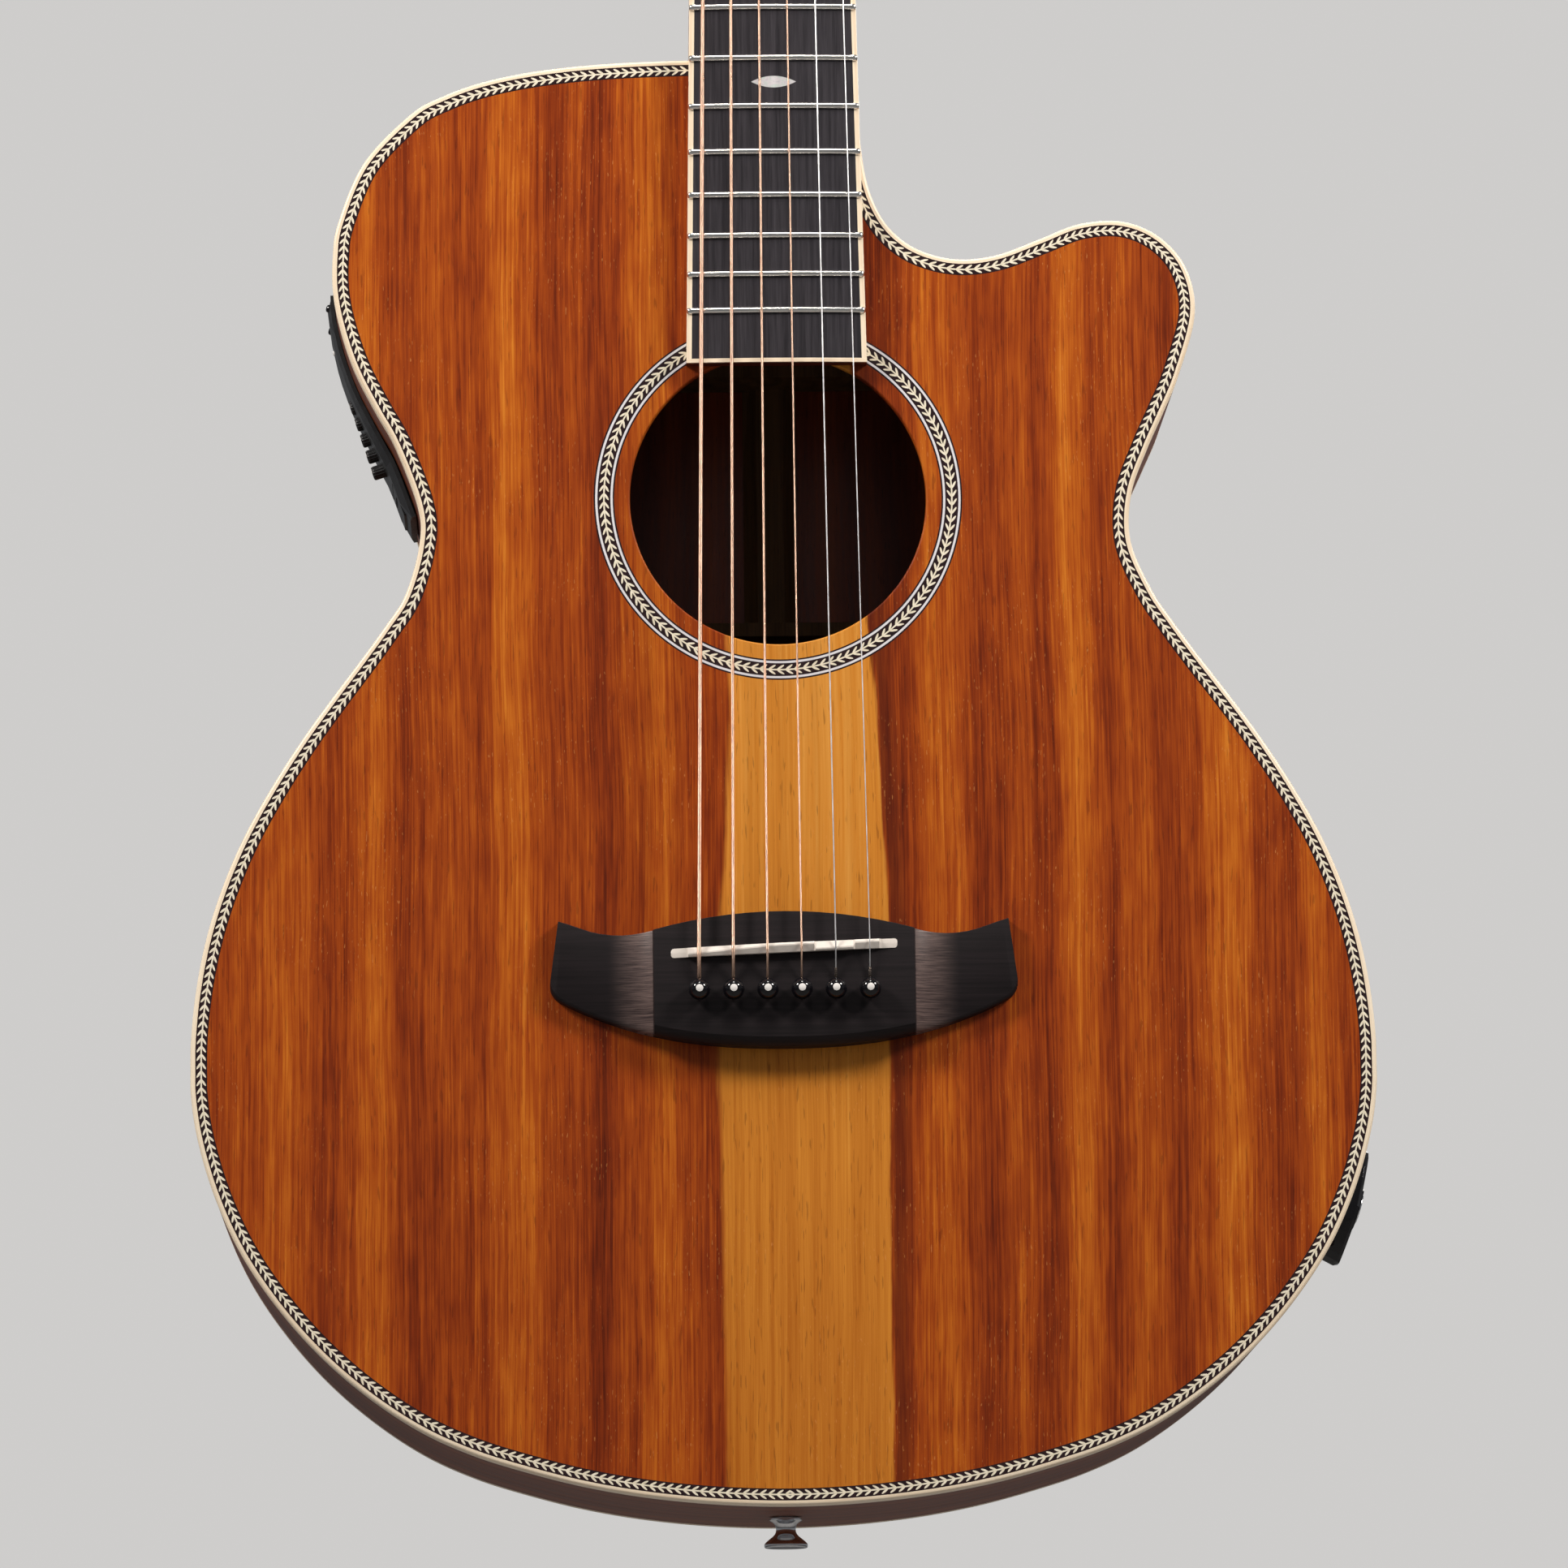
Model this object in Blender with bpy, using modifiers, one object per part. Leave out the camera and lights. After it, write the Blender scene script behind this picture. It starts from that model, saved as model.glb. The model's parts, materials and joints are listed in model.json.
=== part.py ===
"""Electro-acoustic steel-string guitar with a rounded cutaway.

It stands upright: +Z runs up the neck, -Y is the side with the strings and +X is the treble side.
The origin is the middle of the end pin's outer face, half-way through the depth of the tail.
"""

import math

import bmesh
import bpy
from mathutils import Matrix, Vector
from mathutils.geometry import intersect_line_line_2d

MM = 0.001
GAP = 0.3 * MM

# Driving dimensions.
SCALE_LENGTH = 650 * MM
FRET_COUNT = 20
NUT_WIDTH = 43 * MM
BOARD_TAPER = 0.0345
CROWN_RADIUS = 406 * MM
BODY_LENGTH = 475.6 * MM
TAIL_DEPTH = 103 * MM
NECK_END_DEPTH = 92 * MM
BACK_DOME = 4 * MM
PIN_LENGTH = 10 * MM

# Heights along Z.
TAIL_Z = PIN_LENGTH
SADDLE_Z = TAIL_Z + 184.7 * MM
NUT_Z = SADDLE_Z + SCALE_LENGTH
HOLE_Z = SADDLE_Z + 143.3 * MM
BODY_TOP_Z = TAIL_Z + BODY_LENGTH
BOARD_END_Z = SADDLE_Z + 187.5 * MM
BRIDGE_PIN_Z = SADDLE_Z - 19.7 * MM
DOME_CENTRE = (0.0, 224 * MM)
DOME_RINGS = [0.25, 0.62, 1.0]

# Depths along Y: the top plate's face, and thicknesses behind or in front of it.
TOP_Y = -TAIL_DEPTH / 2
PLATE = 2.8 * MM
SIDE = 2.3 * MM
BINDING_WIDTH = 1.6 * MM
BINDING_DEPTH = 6 * MM
PURFLING_WIDTH = 3.8 * MM
INLAY_DEPTH = 1.5 * MM
LINING_WIDTH = 6 * MM
LINING_DEPTH = 14 * MM
HOLE_RADIUS = 48.3 * MM
ROSETTE_INNER = 53.3 * MM
ROSETTE_OUTER = 60.2 * MM

# Heights above the top plate's face.
BOARD_HEIGHT = 6.4 * MM
FRET_HEIGHT = 1.1 * MM
BRIDGE_HEIGHT = 9 * MM
SLOT_FLOOR = 3 * MM
STRING_AT_SADDLE = 12.2 * MM
STRING_AT_NUT = 8 * MM
STRING_PITCH_SADDLE = 11 * MM
STRING_PITCH_NUT = 7.3 * MM
STRING_RADII = [0.67 * MM, 0.53 * MM, 0.4 * MM, 0.3 * MM, 0.2 * MM, 0.15 * MM]

# Headstock and tuners: across, and up from the start of the tilted face.
HEAD_TILT = math.radians(14)
HEAD_START = 6 * MM
HEAD_THICKNESS = 15 * MM
POST_PLACES = [(21 * MM, 32 * MM), (20.5 * MM, 72 * MM), (20 * MM, 112 * MM)]
WORM_OFFSET = 6.2 * MM
WORM_DEPTH = HEAD_THICKNESS + 6 * MM

# Control panel and jack in the sides; heights are above the tail, rises above the side.
PREAMP_HEIGHTS = (328.5 * MM, 403 * MM)
PANEL_RISES = [3.4 * MM, 3.2 * MM, 2.6 * MM, 2.5 * MM, 2.8 * MM]
KNOB_COUNT = 5
KNOB_HEIGHTS = (350.2 * MM, 370.6 * MM)
KNOB_RISES = (3.8 * MM, 0.7 * MM)
KNOB_LENGTH = 6 * MM
JACK_HEIGHT = 101 * MM
JACK_RISE = 5.6 * MM
JACK_SLOPE = 1.5 * MM

# The body's outline, half-width and height above the tail in millimetres.
LOWER_BOUT = [(45, 3.2), (84, 11.7), (118, 25), (150, 49.5), (175, 82), (188.5, 117), (191.3, 148),
              (186.3, 184), (174, 217.5), (155, 249.5), (136, 275.5), (121.5, 297)]
BASS_SHOULDER = [(-117, 313), (-117.3, 326), (-124.5, 346), (-137.5, 371), (-144.7, 397),
                 (-143, 421), (-134.5, 441.1), (-119, 457.5), (-97, 467.7), (-68, 473), (-35.3, 475),
                 (0, 475.5)]
CUTAWAY = [(115, 313), (115.5, 329), (121, 344), (131.7, 368.3), (137.5, 389), (134.8, 404.5),
           (126.1, 415), (114, 420.1), (100, 419.3), (86.9, 414.3), (73.4, 409.2), (62, 407.6),
           (52, 409.1), (42.9, 413.4), (35.5, 421.2), (30.5, 433.5), (28.2, 450)]
CORNER = (27, 475.6)
LONGEST_SPAN = 24

MATERIALS = {
    "koa": ((0.42, 0.13, 0.035), 0.35, 0.0),
    "koa_side": ((0.33, 0.12, 0.05), 0.4, 0.0),
    "maple": ((0.78, 0.58, 0.36), 0.4, 0.0),
    "inlay": ((0.35, 0.33, 0.28), 0.4, 0.0),
    "spruce": ((0.72, 0.55, 0.34), 0.7, 0.0),
    "mahogany": ((0.3, 0.13, 0.06), 0.45, 0.0),
    "ebony": ((0.03, 0.027, 0.027), 0.5, 0.0),
    "bone": ((0.85, 0.82, 0.74), 0.35, 0.0),
    "black_plastic": ((0.012, 0.012, 0.014), 0.25, 0.0),
    "chrome": ((0.75, 0.75, 0.77), 0.12, 1.0),
    "bronze_string": ((0.7, 0.42, 0.25), 0.35, 1.0),
    "steel_string": ((0.7, 0.7, 0.7), 0.25, 1.0),
    "steel": ((0.4, 0.4, 0.42), 0.4, 1.0),
}


# Scene and materials


def clear_scene():
    for obj in list(bpy.data.objects):
        bpy.data.objects.remove(obj)


def make_collection(name):
    collection = bpy.data.collections.new(name)
    bpy.context.scene.collection.children.link(collection)
    return collection


def get_material(name):
    material = bpy.data.materials.get(name)
    if material:
        return material
    colour, roughness, metallic = MATERIALS[name]
    material = bpy.data.materials.new(name)
    material.use_nodes = True
    shader = material.node_tree.nodes["Principled BSDF"]
    shader.inputs["Base Color"].default_value = (*colour, 1)
    shader.inputs["Roughness"].default_value = roughness
    shader.inputs["Metallic"].default_value = metallic
    return material


def add_object(name, mesh, material, matrix=None, parent=None):
    """A named object in the guitar's collection, or a cutter where there is no material."""
    obj = bpy.data.objects.new(name, mesh)
    if material:
        mesh.materials.append(get_material(material))
        GUITAR.objects.link(obj)
    else:
        CUTTERS.objects.link(obj)
        obj.hide_render = True
        obj.display_type = "WIRE"
    obj.parent = parent
    if matrix:
        obj.matrix_local = matrix
    return obj


# Shapes


def finish_mesh(name, bm, smooth=True):
    if bm.calc_volume(signed=True) < 0:
        bmesh.ops.reverse_faces(bm, faces=bm.faces)
    mesh = bpy.data.meshes.new(name)
    bm.to_mesh(mesh)
    bm.free()
    if smooth:
        mesh.shade_smooth()
        mesh.set_sharp_from_angle(angle=math.radians(35))
    return mesh


def loft(name, sections, material, ring=False, matrix=None, parent=None):
    """A skin through closed sections of equal count, capped at its ends unless it is a ring."""
    bm = bmesh.new()
    rows = [[bm.verts.new(point) for point in section] for section in sections]
    pairs = list(zip(rows, rows[1:] + rows[:1])) if ring else list(zip(rows, rows[1:]))
    for first, second in pairs:
        for a, b, c, d in zip(first, first[1:] + first[:1], second[1:] + second[:1], second):
            bm.faces.new((a, b, c, d))
    if not ring:
        bm.faces.new(rows[0][::-1])
        bm.faces.new(rows[-1])
    return add_object(name, finish_mesh(name, bm), material, matrix, parent)


def box(name, low, high, material, bevel=0.0, matrix=None, parent=None):
    low, high = Vector(low), Vector(high)
    bm = bmesh.new()
    bmesh.ops.create_cube(bm, size=1)
    bmesh.ops.scale(bm, vec=high - low, verts=bm.verts)
    bmesh.ops.translate(bm, vec=(low + high) / 2, verts=bm.verts)
    obj = add_object(name, finish_mesh(name, bm, smooth=False), material, matrix, parent)
    if bevel:
        modifier = obj.modifiers.new("rounded edges", "BEVEL")
        modifier.width = bevel
        modifier.segments = 1
    return obj


def cylinder(name, start, end, radius, sides, material=None, parent=None):
    start, end = Vector(start), Vector(end)
    bm = bmesh.new()
    bmesh.ops.create_cone(bm, cap_ends=True, segments=sides, radius1=radius, radius2=radius,
                          depth=(end - start).length)
    turn = (end - start).to_track_quat("Z", "X").to_matrix().to_4x4()
    bm.transform(Matrix.Translation((start + end) / 2) @ turn)
    return add_object(name, finish_mesh(name, bm), material, None, parent)


def turned(name, profile, steps, material, matrix=None, parent=None):
    """A turned piece about its own Z, from (radius, height) points that run from its top down."""
    mesh = bpy.data.meshes.new(name)
    edges = [(i, i + 1) for i in range(len(profile) - 1)]
    mesh.from_pydata([(radius, 0, height) for radius, height in profile], edges, [])
    obj = add_object(name, mesh, material, matrix, parent)
    modifier = obj.modifiers.new("turn", "SCREW")
    modifier.steps = steps
    modifier.render_steps = steps
    modifier.use_merge_vertices = True
    modifier.merge_threshold = 0.01 * MM
    return obj


def tube(name, points, radius, material):
    curve = bpy.data.curves.new(name, "CURVE")
    curve.dimensions = "3D"
    curve.bevel_depth = radius
    curve.bevel_resolution = 1
    curve.use_fill_caps = True
    spline = curve.splines.new("POLY")
    spline.points.add(len(points) - 1)
    for spot, point in zip(spline.points, points):
        spot.co = (*point, 1)
    curve.materials.append(get_material(material))
    obj = bpy.data.objects.new(name, curve)
    GUITAR.objects.link(obj)
    return obj


def boolean(obj, other, operation):
    modifier = obj.modifiers.new(operation.lower() + " " + other.name, "BOOLEAN")
    modifier.operation = operation
    modifier.object = other


def cut(obj, *cutters):
    for cutter in cutters:
        boolean(obj, cutter, "DIFFERENCE")


def join(obj, *helpers):
    for helper in helpers:
        boolean(obj, helper, "UNION")


# The outline and the surfaces that follow it


def catmull_rom(points, before, after, longest):
    """A smooth open curve through the points, with any span over the longest one halved."""
    guides = [Vector(point) for point in [before, *points, after]]
    curve = []
    for a, b, c, d in zip(guides, guides[1:], guides[2:], guides[3:]):
        steps = 2 if (c - b).length > longest else 1
        for step in range(steps):
            t = step / steps
            bend = (2 * a - 5 * b + 4 * c - d) * t * t + (3 * b - a - 3 * c + d) * t ** 3
            curve.append((2 * b + (c - a) * t + bend) / 2)
    return curve + [guides[-2]]


def make_outline():
    """The outline from the tail up the bass side to the corner, and down the treble side."""
    first_x, first_z = LOWER_BOUT[0]
    bass = [(0, 0)] + [(-x, z) for x, z in LOWER_BOUT] + BASS_SHOULDER + [CORNER]
    treble = [(0, 0)] + LOWER_BOUT + CUTAWAY + [CORNER]
    up = catmull_rom(bass, (first_x, first_z), (54, 475.6), LONGEST_SPAN)
    down = catmull_rom(treble, (-first_x, first_z), (26, 501), LONGEST_SPAN)[::-1]
    return [point * MM for point in up + down[1:-1]], len(up) - 1


def inward_mitres(outline):
    mitres = []
    for before, point, after in zip(outline[-1:] + outline, outline, outline[1:] + outline[:1]):
        first = (point - before).normalized()
        second = (after - point).normalized()
        first_normal = Vector((first.y, -first.x))
        middle = (first_normal + Vector((second.y, -second.x))).normalized()
        mitres.append(middle / middle.dot(first_normal))
    return mitres


def inset(distance):
    return [point + mitre * distance for point, mitre in zip(OUTLINE, MITRES)]


def back_y(height):
    """Depth of the back's edge at a height above the tail."""
    return TOP_Y + TAIL_DEPTH + (NECK_END_DEPTH - TAIL_DEPTH) * height / BODY_LENGTH


def at_depth(points, depth):
    return [Vector((p.x, depth, p.y + TAIL_Z)) for p in points]


def from_back(points, distance):
    """The points at a distance in front of the sloping plane of the back."""
    return [Vector((p.x, back_y(p.y) - distance, p.y + TAIL_Z)) for p in points]


def on_side(position, rise, depth):
    """A point above the side's outer face, at a fractional place along the outline."""
    first = int(position) % len(OUTLINE)
    second = (first + 1) % len(OUTLINE)
    part = position - int(position)
    low = OUTLINE[first] - MITRES[first] * rise
    high = OUTLINE[second] - MITRES[second] * rise
    flat = low.lerp(high, part)
    return Vector((flat.x, depth, flat.y + TAIL_Z))


def place_at_height(height, start, end):
    """The fractional place where the outline passes a height, between two of its points."""
    for index in range(start, end):
        low, high = OUTLINE[index].y, OUTLINE[index + 1].y
        if (low - height) * (high - height) <= 0:
            return index + (height - low) / (high - low)


def walk(position, distance):
    """The fractional place that lies a distance further along the outline."""
    step = 0.02
    direction = 1 if distance > 0 else -1
    gone = 0.0
    while gone < abs(distance):
        here = on_side(position, 0, 0)
        position += direction * step
        gone += (on_side(position, 0, 0) - here).length
    return position


def no_rise(position):
    return 0.0


def side_frame(position, rise, depth):
    """A frame on a surface above the side: X along the outline, Y along the depth, Z outwards."""
    before = on_side(position - 0.05, rise(position - 0.05), 0)
    after = on_side(position + 0.05, rise(position + 0.05), 0)
    along = (after - before).normalized()
    deep = Vector((0, 1, 0))
    out = along.cross(deep)
    matrix = Matrix((along, deep, out)).transposed().to_4x4()
    matrix.translation = on_side(position, rise(position), depth)
    return matrix


def side_block(name, start, end, depths, rises, material, stations=9):
    """A block that follows the side between two places."""
    sections = []
    for index in range(stations):
        position = start + (end - start) * index / (stations - 1)
        sections.append([on_side(position, rise, depth)
                         for rise, depth in zip((rises[0], rises[1], rises[1], rises[0]),
                                                (depths[0], depths[0], depths[1], depths[1]))])
    return loft(name, sections, material)


def rim(name, rails, material, span=None):
    """A strip along the whole outline, or along a span of it, with a rail on each edge."""
    if span is None:
        return loft(name, list(zip(*rails)), material, ring=True)
    first, last = span
    count = len(OUTLINE)
    sections = [[rail[i % count] for rail in rails] for i in range(first, last + 1)]
    for end, near in ((0, 1), (-1, -2)):
        for corner, (point, inner) in enumerate(zip(list(sections[end]), sections[near])):
            sections[end][corner] = point + (inner - point).normalized() * GAP / 2
    return loft(name, sections, material)


# The body


def soundboard():
    step = BINDING_WIDTH + GAP
    channel = step + PURFLING_WIDTH + 2 * GAP
    face = TOP_Y + INLAY_DEPTH + GAP
    sections = [
        at_depth(inset(channel), TOP_Y),
        at_depth(inset(channel), face),
        at_depth(inset(step), face),
        at_depth(inset(step), TOP_Y + PLATE),
    ]
    board = loft("soundboard", sections, "koa")
    front = Vector((0, TOP_Y - PLATE, HOLE_Z))
    deep = Vector((0, TOP_Y + INLAY_DEPTH + GAP, HOLE_Z))
    far = Vector((0, TOP_Y + 2 * PLATE, HOLE_Z))
    outer = cylinder("rosette_channel", front, deep, ROSETTE_OUTER + GAP, 40)
    core = cylinder("rosette_channel_core", front - Vector((0, PLATE, 0)), far,
                    ROSETTE_INNER - GAP, 40)
    cut(outer, core)
    cut(board, outer, cylinder("soundhole", front, far, HOLE_RADIUS, 40))
    return board


def rosette():
    sections = []
    count = 40
    depths = (TOP_Y, TOP_Y + INLAY_DEPTH)
    for index in range(count):
        angle = 2 * math.pi * index / count
        out = Vector((math.sin(angle), 0, math.cos(angle)))
        centre = Vector((0, 0, HOLE_Z))
        sections.append([centre + out * radius + Vector((0, depth, 0))
                         for radius, depth in ((ROSETTE_OUTER, depths[0]), (ROSETTE_OUTER, depths[1]),
                                               (ROSETTE_INNER, depths[1]), (ROSETTE_INNER, depths[0]))])
    return loft("rosette", sections, "inlay", ring=True)


def top_trim():
    outer, inner = inset(0), inset(BINDING_WIDTH)
    deep = TOP_Y + BINDING_DEPTH
    rim("top_binding", [at_depth(outer, TOP_Y), at_depth(outer, deep),
                        at_depth(inner, deep), at_depth(inner, TOP_Y)], "maple")
    start = BINDING_WIDTH + 2 * GAP
    outer, inner = inset(start), inset(start + PURFLING_WIDTH)
    deep = TOP_Y + INLAY_DEPTH
    rim("top_purfling", [at_depth(outer, TOP_Y), at_depth(outer, deep),
                         at_depth(inner, deep), at_depth(inner, TOP_Y)], "inlay")


def back_binding():
    outer, inner = inset(0), inset(BINDING_WIDTH)
    rim("back_binding", [from_back(outer, BINDING_DEPTH), from_back(outer, 0),
                         from_back(inner, 0), from_back(inner, BINDING_DEPTH)], "maple")


def sides():
    """The two bent strips, butted at the tail and mitred at the corner beside the neck."""
    outer, inner = inset(0), inset(SIDE)
    front = TOP_Y + BINDING_DEPTH + GAP
    rails = [at_depth(outer, front), from_back(outer, BINDING_DEPTH + GAP),
             from_back(inner, BINDING_DEPTH + GAP), at_depth(inner, front)]
    bass = rim("side_bass", rails, "koa_side", (0, CORNER_INDEX))
    treble = rim("side_treble", rails, "koa_side", (CORNER_INDEX, len(OUTLINE)))
    return bass, treble


def linings():
    start = SIDE + GAP
    outer, inner = inset(start), inset(start + LINING_WIDTH)
    near = TOP_Y + PLATE + GAP
    far = near + LINING_DEPTH
    rim("top_lining", [at_depth(outer, near), at_depth(outer, far),
                       at_depth(inner, near + 4 * MM)], "spruce")
    near = PLATE + GAP
    far = near + LINING_DEPTH
    rim("back_lining", [from_back(outer, far), from_back(outer, near),
                        from_back(inner, far - LINING_DEPTH + 4 * MM)], "spruce")


def domed(scale, distance):
    """The outline of the back drawn towards its middle, raised by the dome at that scale."""
    centre = Vector(DOME_CENTRE)
    flat = [centre + (point - centre) * scale for point in inset(BINDING_WIDTH + GAP)]
    rise = BACK_DOME * (1 - scale ** 2)
    return [point + Vector((0, rise, 0)) for point in from_back(flat, distance)]


def back_plate():
    sections = [domed(scale, PLATE) for scale in DOME_RINGS]
    sections += [domed(scale, 0) for scale in reversed(DOME_RINGS)]
    return loft("back_plate", sections, "koa_side")


def dome_rise(point):
    """How far the back, flat between its rings, stands behind the plane of its rim at a point."""
    centre = Vector(DOME_CENTRE)
    rim_points = inset(BINDING_WIDTH + GAP)
    far = centre + (point - centre).normalized()
    scale = 0.0
    for a, b in zip(rim_points, rim_points[1:] + rim_points[:1]):
        hit = intersect_line_line_2d(centre, far, a, b)
        if hit:
            scale = (point - centre).length / (hit - centre).length
    rises = [BACK_DOME * (1 - ring ** 2) for ring in DOME_RINGS]
    for low, high, first, second in zip(DOME_RINGS, DOME_RINGS[1:], rises, rises[1:]):
        if low < scale <= high:
            return first + (second - first) * (scale - low) / (high - low)
    return rises[0] if scale <= DOME_RINGS[0] else rises[-1]


def stepped_block(name, low, high, edge, depths, material):
    """A block that fills the depth of the body but stays narrow beside the linings."""
    (x0, z0), (x1, z1) = low, high
    (ex0, ez0), (ex1, ez1) = edge
    narrow = [(x0 + ex0, z0 + ez0), (x1 - ex1, z0 + ez0), (x1 - ex1, z1 - ez1), (x0 + ex0, z1 - ez1)]
    wide = [(x0, z0), (x1, z0), (x1, z1), (x0, z1)]
    front, back = depths
    lap = LINING_DEPTH + GAP
    levels = [(front, narrow), (front + lap, narrow), (front + lap, wide),
              (back - lap, wide), (back - lap, narrow), (back, narrow)]
    sections = [[Vector((x, depth, z)) for x, z in corners] for depth, corners in levels]
    return loft(name, sections, material)


def end_blocks():
    front = TOP_Y + PLATE + GAP
    lap = LINING_WIDTH + GAP
    wall = SIDE + GAP
    tail_back = back_y(20 * MM) - PLATE - GAP
    tail = stepped_block("tail_block", (-28 * MM, TAIL_Z + wall + 1.6 * MM), (28 * MM, TAIL_Z + 24 * MM),
                         ((MM, lap), (MM, MM)), (front, tail_back), "mahogany")
    head_back = back_y(BODY_LENGTH) - PLATE - GAP
    neck = stepped_block("neck_block", (-34 * MM, BODY_TOP_Z - 58 * MM),
                         (23 * MM, BODY_TOP_Z - wall - 0.8 * MM),
                         ((MM, MM), (lap + 4 * MM, lap)), (front, head_back), "mahogany")
    return tail, neck


# Braces and plates inside the body


def brace(name, start, end, width, height, material=None, back=False):
    """A bar glued to a plate, thinned towards its ends; the ends are (x, height above the tail)."""
    start, end = Vector(start) * MM, Vector(end) * MM
    across = Vector((end.y - start.y, start.x - end.x)).normalized() * width / 2
    sections = []
    for share, rise in ((0, 0.4), (0.14, 0.9), (0.32, 1), (0.5, 1), (0.68, 1), (0.86, 0.9), (1, 0.4)):
        middle = start.lerp(end, share)
        corners = [middle - across, middle + across]
        if back:
            bulge = min(dome_rise(corner) for corner in corners)
            foot = from_back(corners, PLATE + GAP - bulge)
            rise_vector = Vector((0, -height * rise, 0))
        else:
            foot = at_depth(corners, TOP_Y + PLATE + GAP)
            rise_vector = Vector((0, height * rise, 0))
        top = [point + rise_vector for point in foot]
        top_middle = (top[0] + top[1]) / 2
        top = [point.lerp(top_middle, 0.5) for point in top]
        sections.append([foot[0], top[0], top[1], foot[1]])
    return loft(name, sections, material)


def soundboard_bracing():
    """The bars under the soundboard, with the bridge plate between the legs of the X."""
    bars = [
        ((-146, 119), (106, 338), 8, 13),
        ((112, 148), (-104, 76), 6, 9),
        ((141, 123.5), (-30, 38), 6, 8),
        ((-62, 396), (-62, 296), 9, 6),
        ((62, 396), (62, 296), 9, 6),
        ((-128, 392), (118, 392), 10, 15),
    ]
    cross = brace("soundboard_bracing", (146, 119), (-106, 338), 8 * MM, 13 * MM, "spruce")
    for number, (start, end, width, height) in enumerate(bars, 1):
        join(cross, brace(f"soundboard_bar_{number}", start, end, width * MM, height * MM))
    corners = [(-109, 151), (109, 151), (69, 186), (-69, 186)]
    flat = [Vector(corner) * MM for corner in corners]
    near = TOP_Y + PLATE + GAP
    join(cross, loft("bridge_plate", [at_depth(flat, near), at_depth(flat, near + 2.5 * MM)], None))
    return cross


def back_bracing():
    strip = brace("back_bracing", (0, 30), (0, 412), 18 * MM, 4 * MM, "spruce", back=True)
    bars = [((-158, 90), (158, 90)), ((-168, 185), (168, 185)), ((-104, 300), (104, 300)),
            ((-126, 388), (124, 388))]
    for number, (start, end) in enumerate(bars, 1):
        join(strip, brace(f"back_bar_{number}", start, end, 9 * MM, 13 * MM, back=True))


# Neck, fingerboard and headstock


def board_half(z):
    return (NUT_WIDTH + BOARD_TAPER * (NUT_Z - z)) / 2


def crown(x):
    """How far the crowned playing surface falls at a distance from the centre line."""
    return x * x / (2 * CROWN_RADIUS)


def neck_section(z, half, face, depth, power, cap):
    points = []
    for index in range(13):
        angle = math.pi * index / 12
        cosine, sine = math.cos(angle), math.sin(angle)
        x = half * math.copysign(abs(cosine) ** power, cosine)
        points.append(Vector((x, face + min(cap, depth * max(sine, 0) ** power), z)))
    return points + [Vector((half * share, face, z)) for share in (-0.5, 0, 0.5)]


def neck():
    """Heel, shaft and headstock in one piece, with a tenon, a rod channel and six post holes."""
    base = BODY_TOP_Z + GAP
    cap = NECK_END_DEPTH - 5 * MM
    heel = [(0, 114), (12, 113), (19, 104), (24, 88), (28, 71), (33, 55), (39, 43), (47, 33),
            (57, 26.5), (71, 22), (92, 19.5)]
    sections = [neck_section(base + rise * MM, board_half(base + rise * MM), TOP_Y, depth * MM, 0.85, cap)
                for rise, depth in heel]
    for rise, depth in ((200 * MM, 18), (NUT_Z - base - 25 * MM, 16)):
        z = base + rise
        sections.append(neck_section(z, board_half(z), TOP_Y, depth * MM, 0.85, cap))
    head = [(0, 21.5, 15.5, 0.85), (6, 22, 15, 0.7), (14, 26, 15, 0.45), (26, 33, 15, 0.28),
            (42, 36, 15, 0.2), (100, 35, 15, 0.2), (150, 33.5, 15, 0.2), (168, 30, 15, 0.24),
            (177, 23, 15, 0.3), (181, 12, 15, 0.35)]
    for rise, half, depth, power in head:
        face = TOP_Y + max(0, rise * MM - HEAD_START) * math.tan(HEAD_TILT)
        sections.append(neck_section(NUT_Z + rise * MM, half * MM, face, depth * MM, power, cap))
    piece = loft("neck", sections, "mahogany")
    join(piece, box("neck_tenon", (-9 * MM, TOP_Y + 22 * MM, BODY_TOP_Z - 20 * MM),
                    (9 * MM, TOP_Y + 68 * MM, base + 2 * MM), None))
    cut(piece, box("rod_channel", (-3.3 * MM, TOP_Y - 2 * MM, base + 4 * MM),
                   (3.3 * MM, TOP_Y + 9.6 * MM, NUT_Z - 12 * MM), None))
    return piece


def truss_rod():
    box("truss_rod", (-3 * MM, TOP_Y + GAP, BODY_TOP_Z + 5 * MM),
        (3 * MM, TOP_Y + 9.3 * MM, NUT_Z - 12.5 * MM), "steel", bevel=0.5 * MM)


def fret_z(number):
    return SADDLE_Z + SCALE_LENGTH * 2 ** (-number / 12)


def board_section(z, rise):
    half = board_half(z)
    spots = [half * share for share in (-1, -0.4, 0.4, 1)]
    top = [Vector((x, TOP_Y - BOARD_HEIGHT - rise + crown(x), z)) for x in spots]
    return top + [Vector((half, TOP_Y - GAP, z)), Vector((-half, TOP_Y - GAP, z))]


def fingerboard():
    """The bound board with its frets, each a low ridge across it."""
    sections = [board_section(BOARD_END_Z, 0)]
    for number in range(FRET_COUNT, 0, -1):
        for offset, rise in ((-1.1, 0), (-0.6, FRET_HEIGHT), (0.6, FRET_HEIGHT), (1.1, 0)):
            sections.append(board_section(fret_z(number) + offset * MM, rise))
    sections.append(board_section(NUT_Z - GAP, 0))
    return loft("fingerboard", sections, "ebony")


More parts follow.
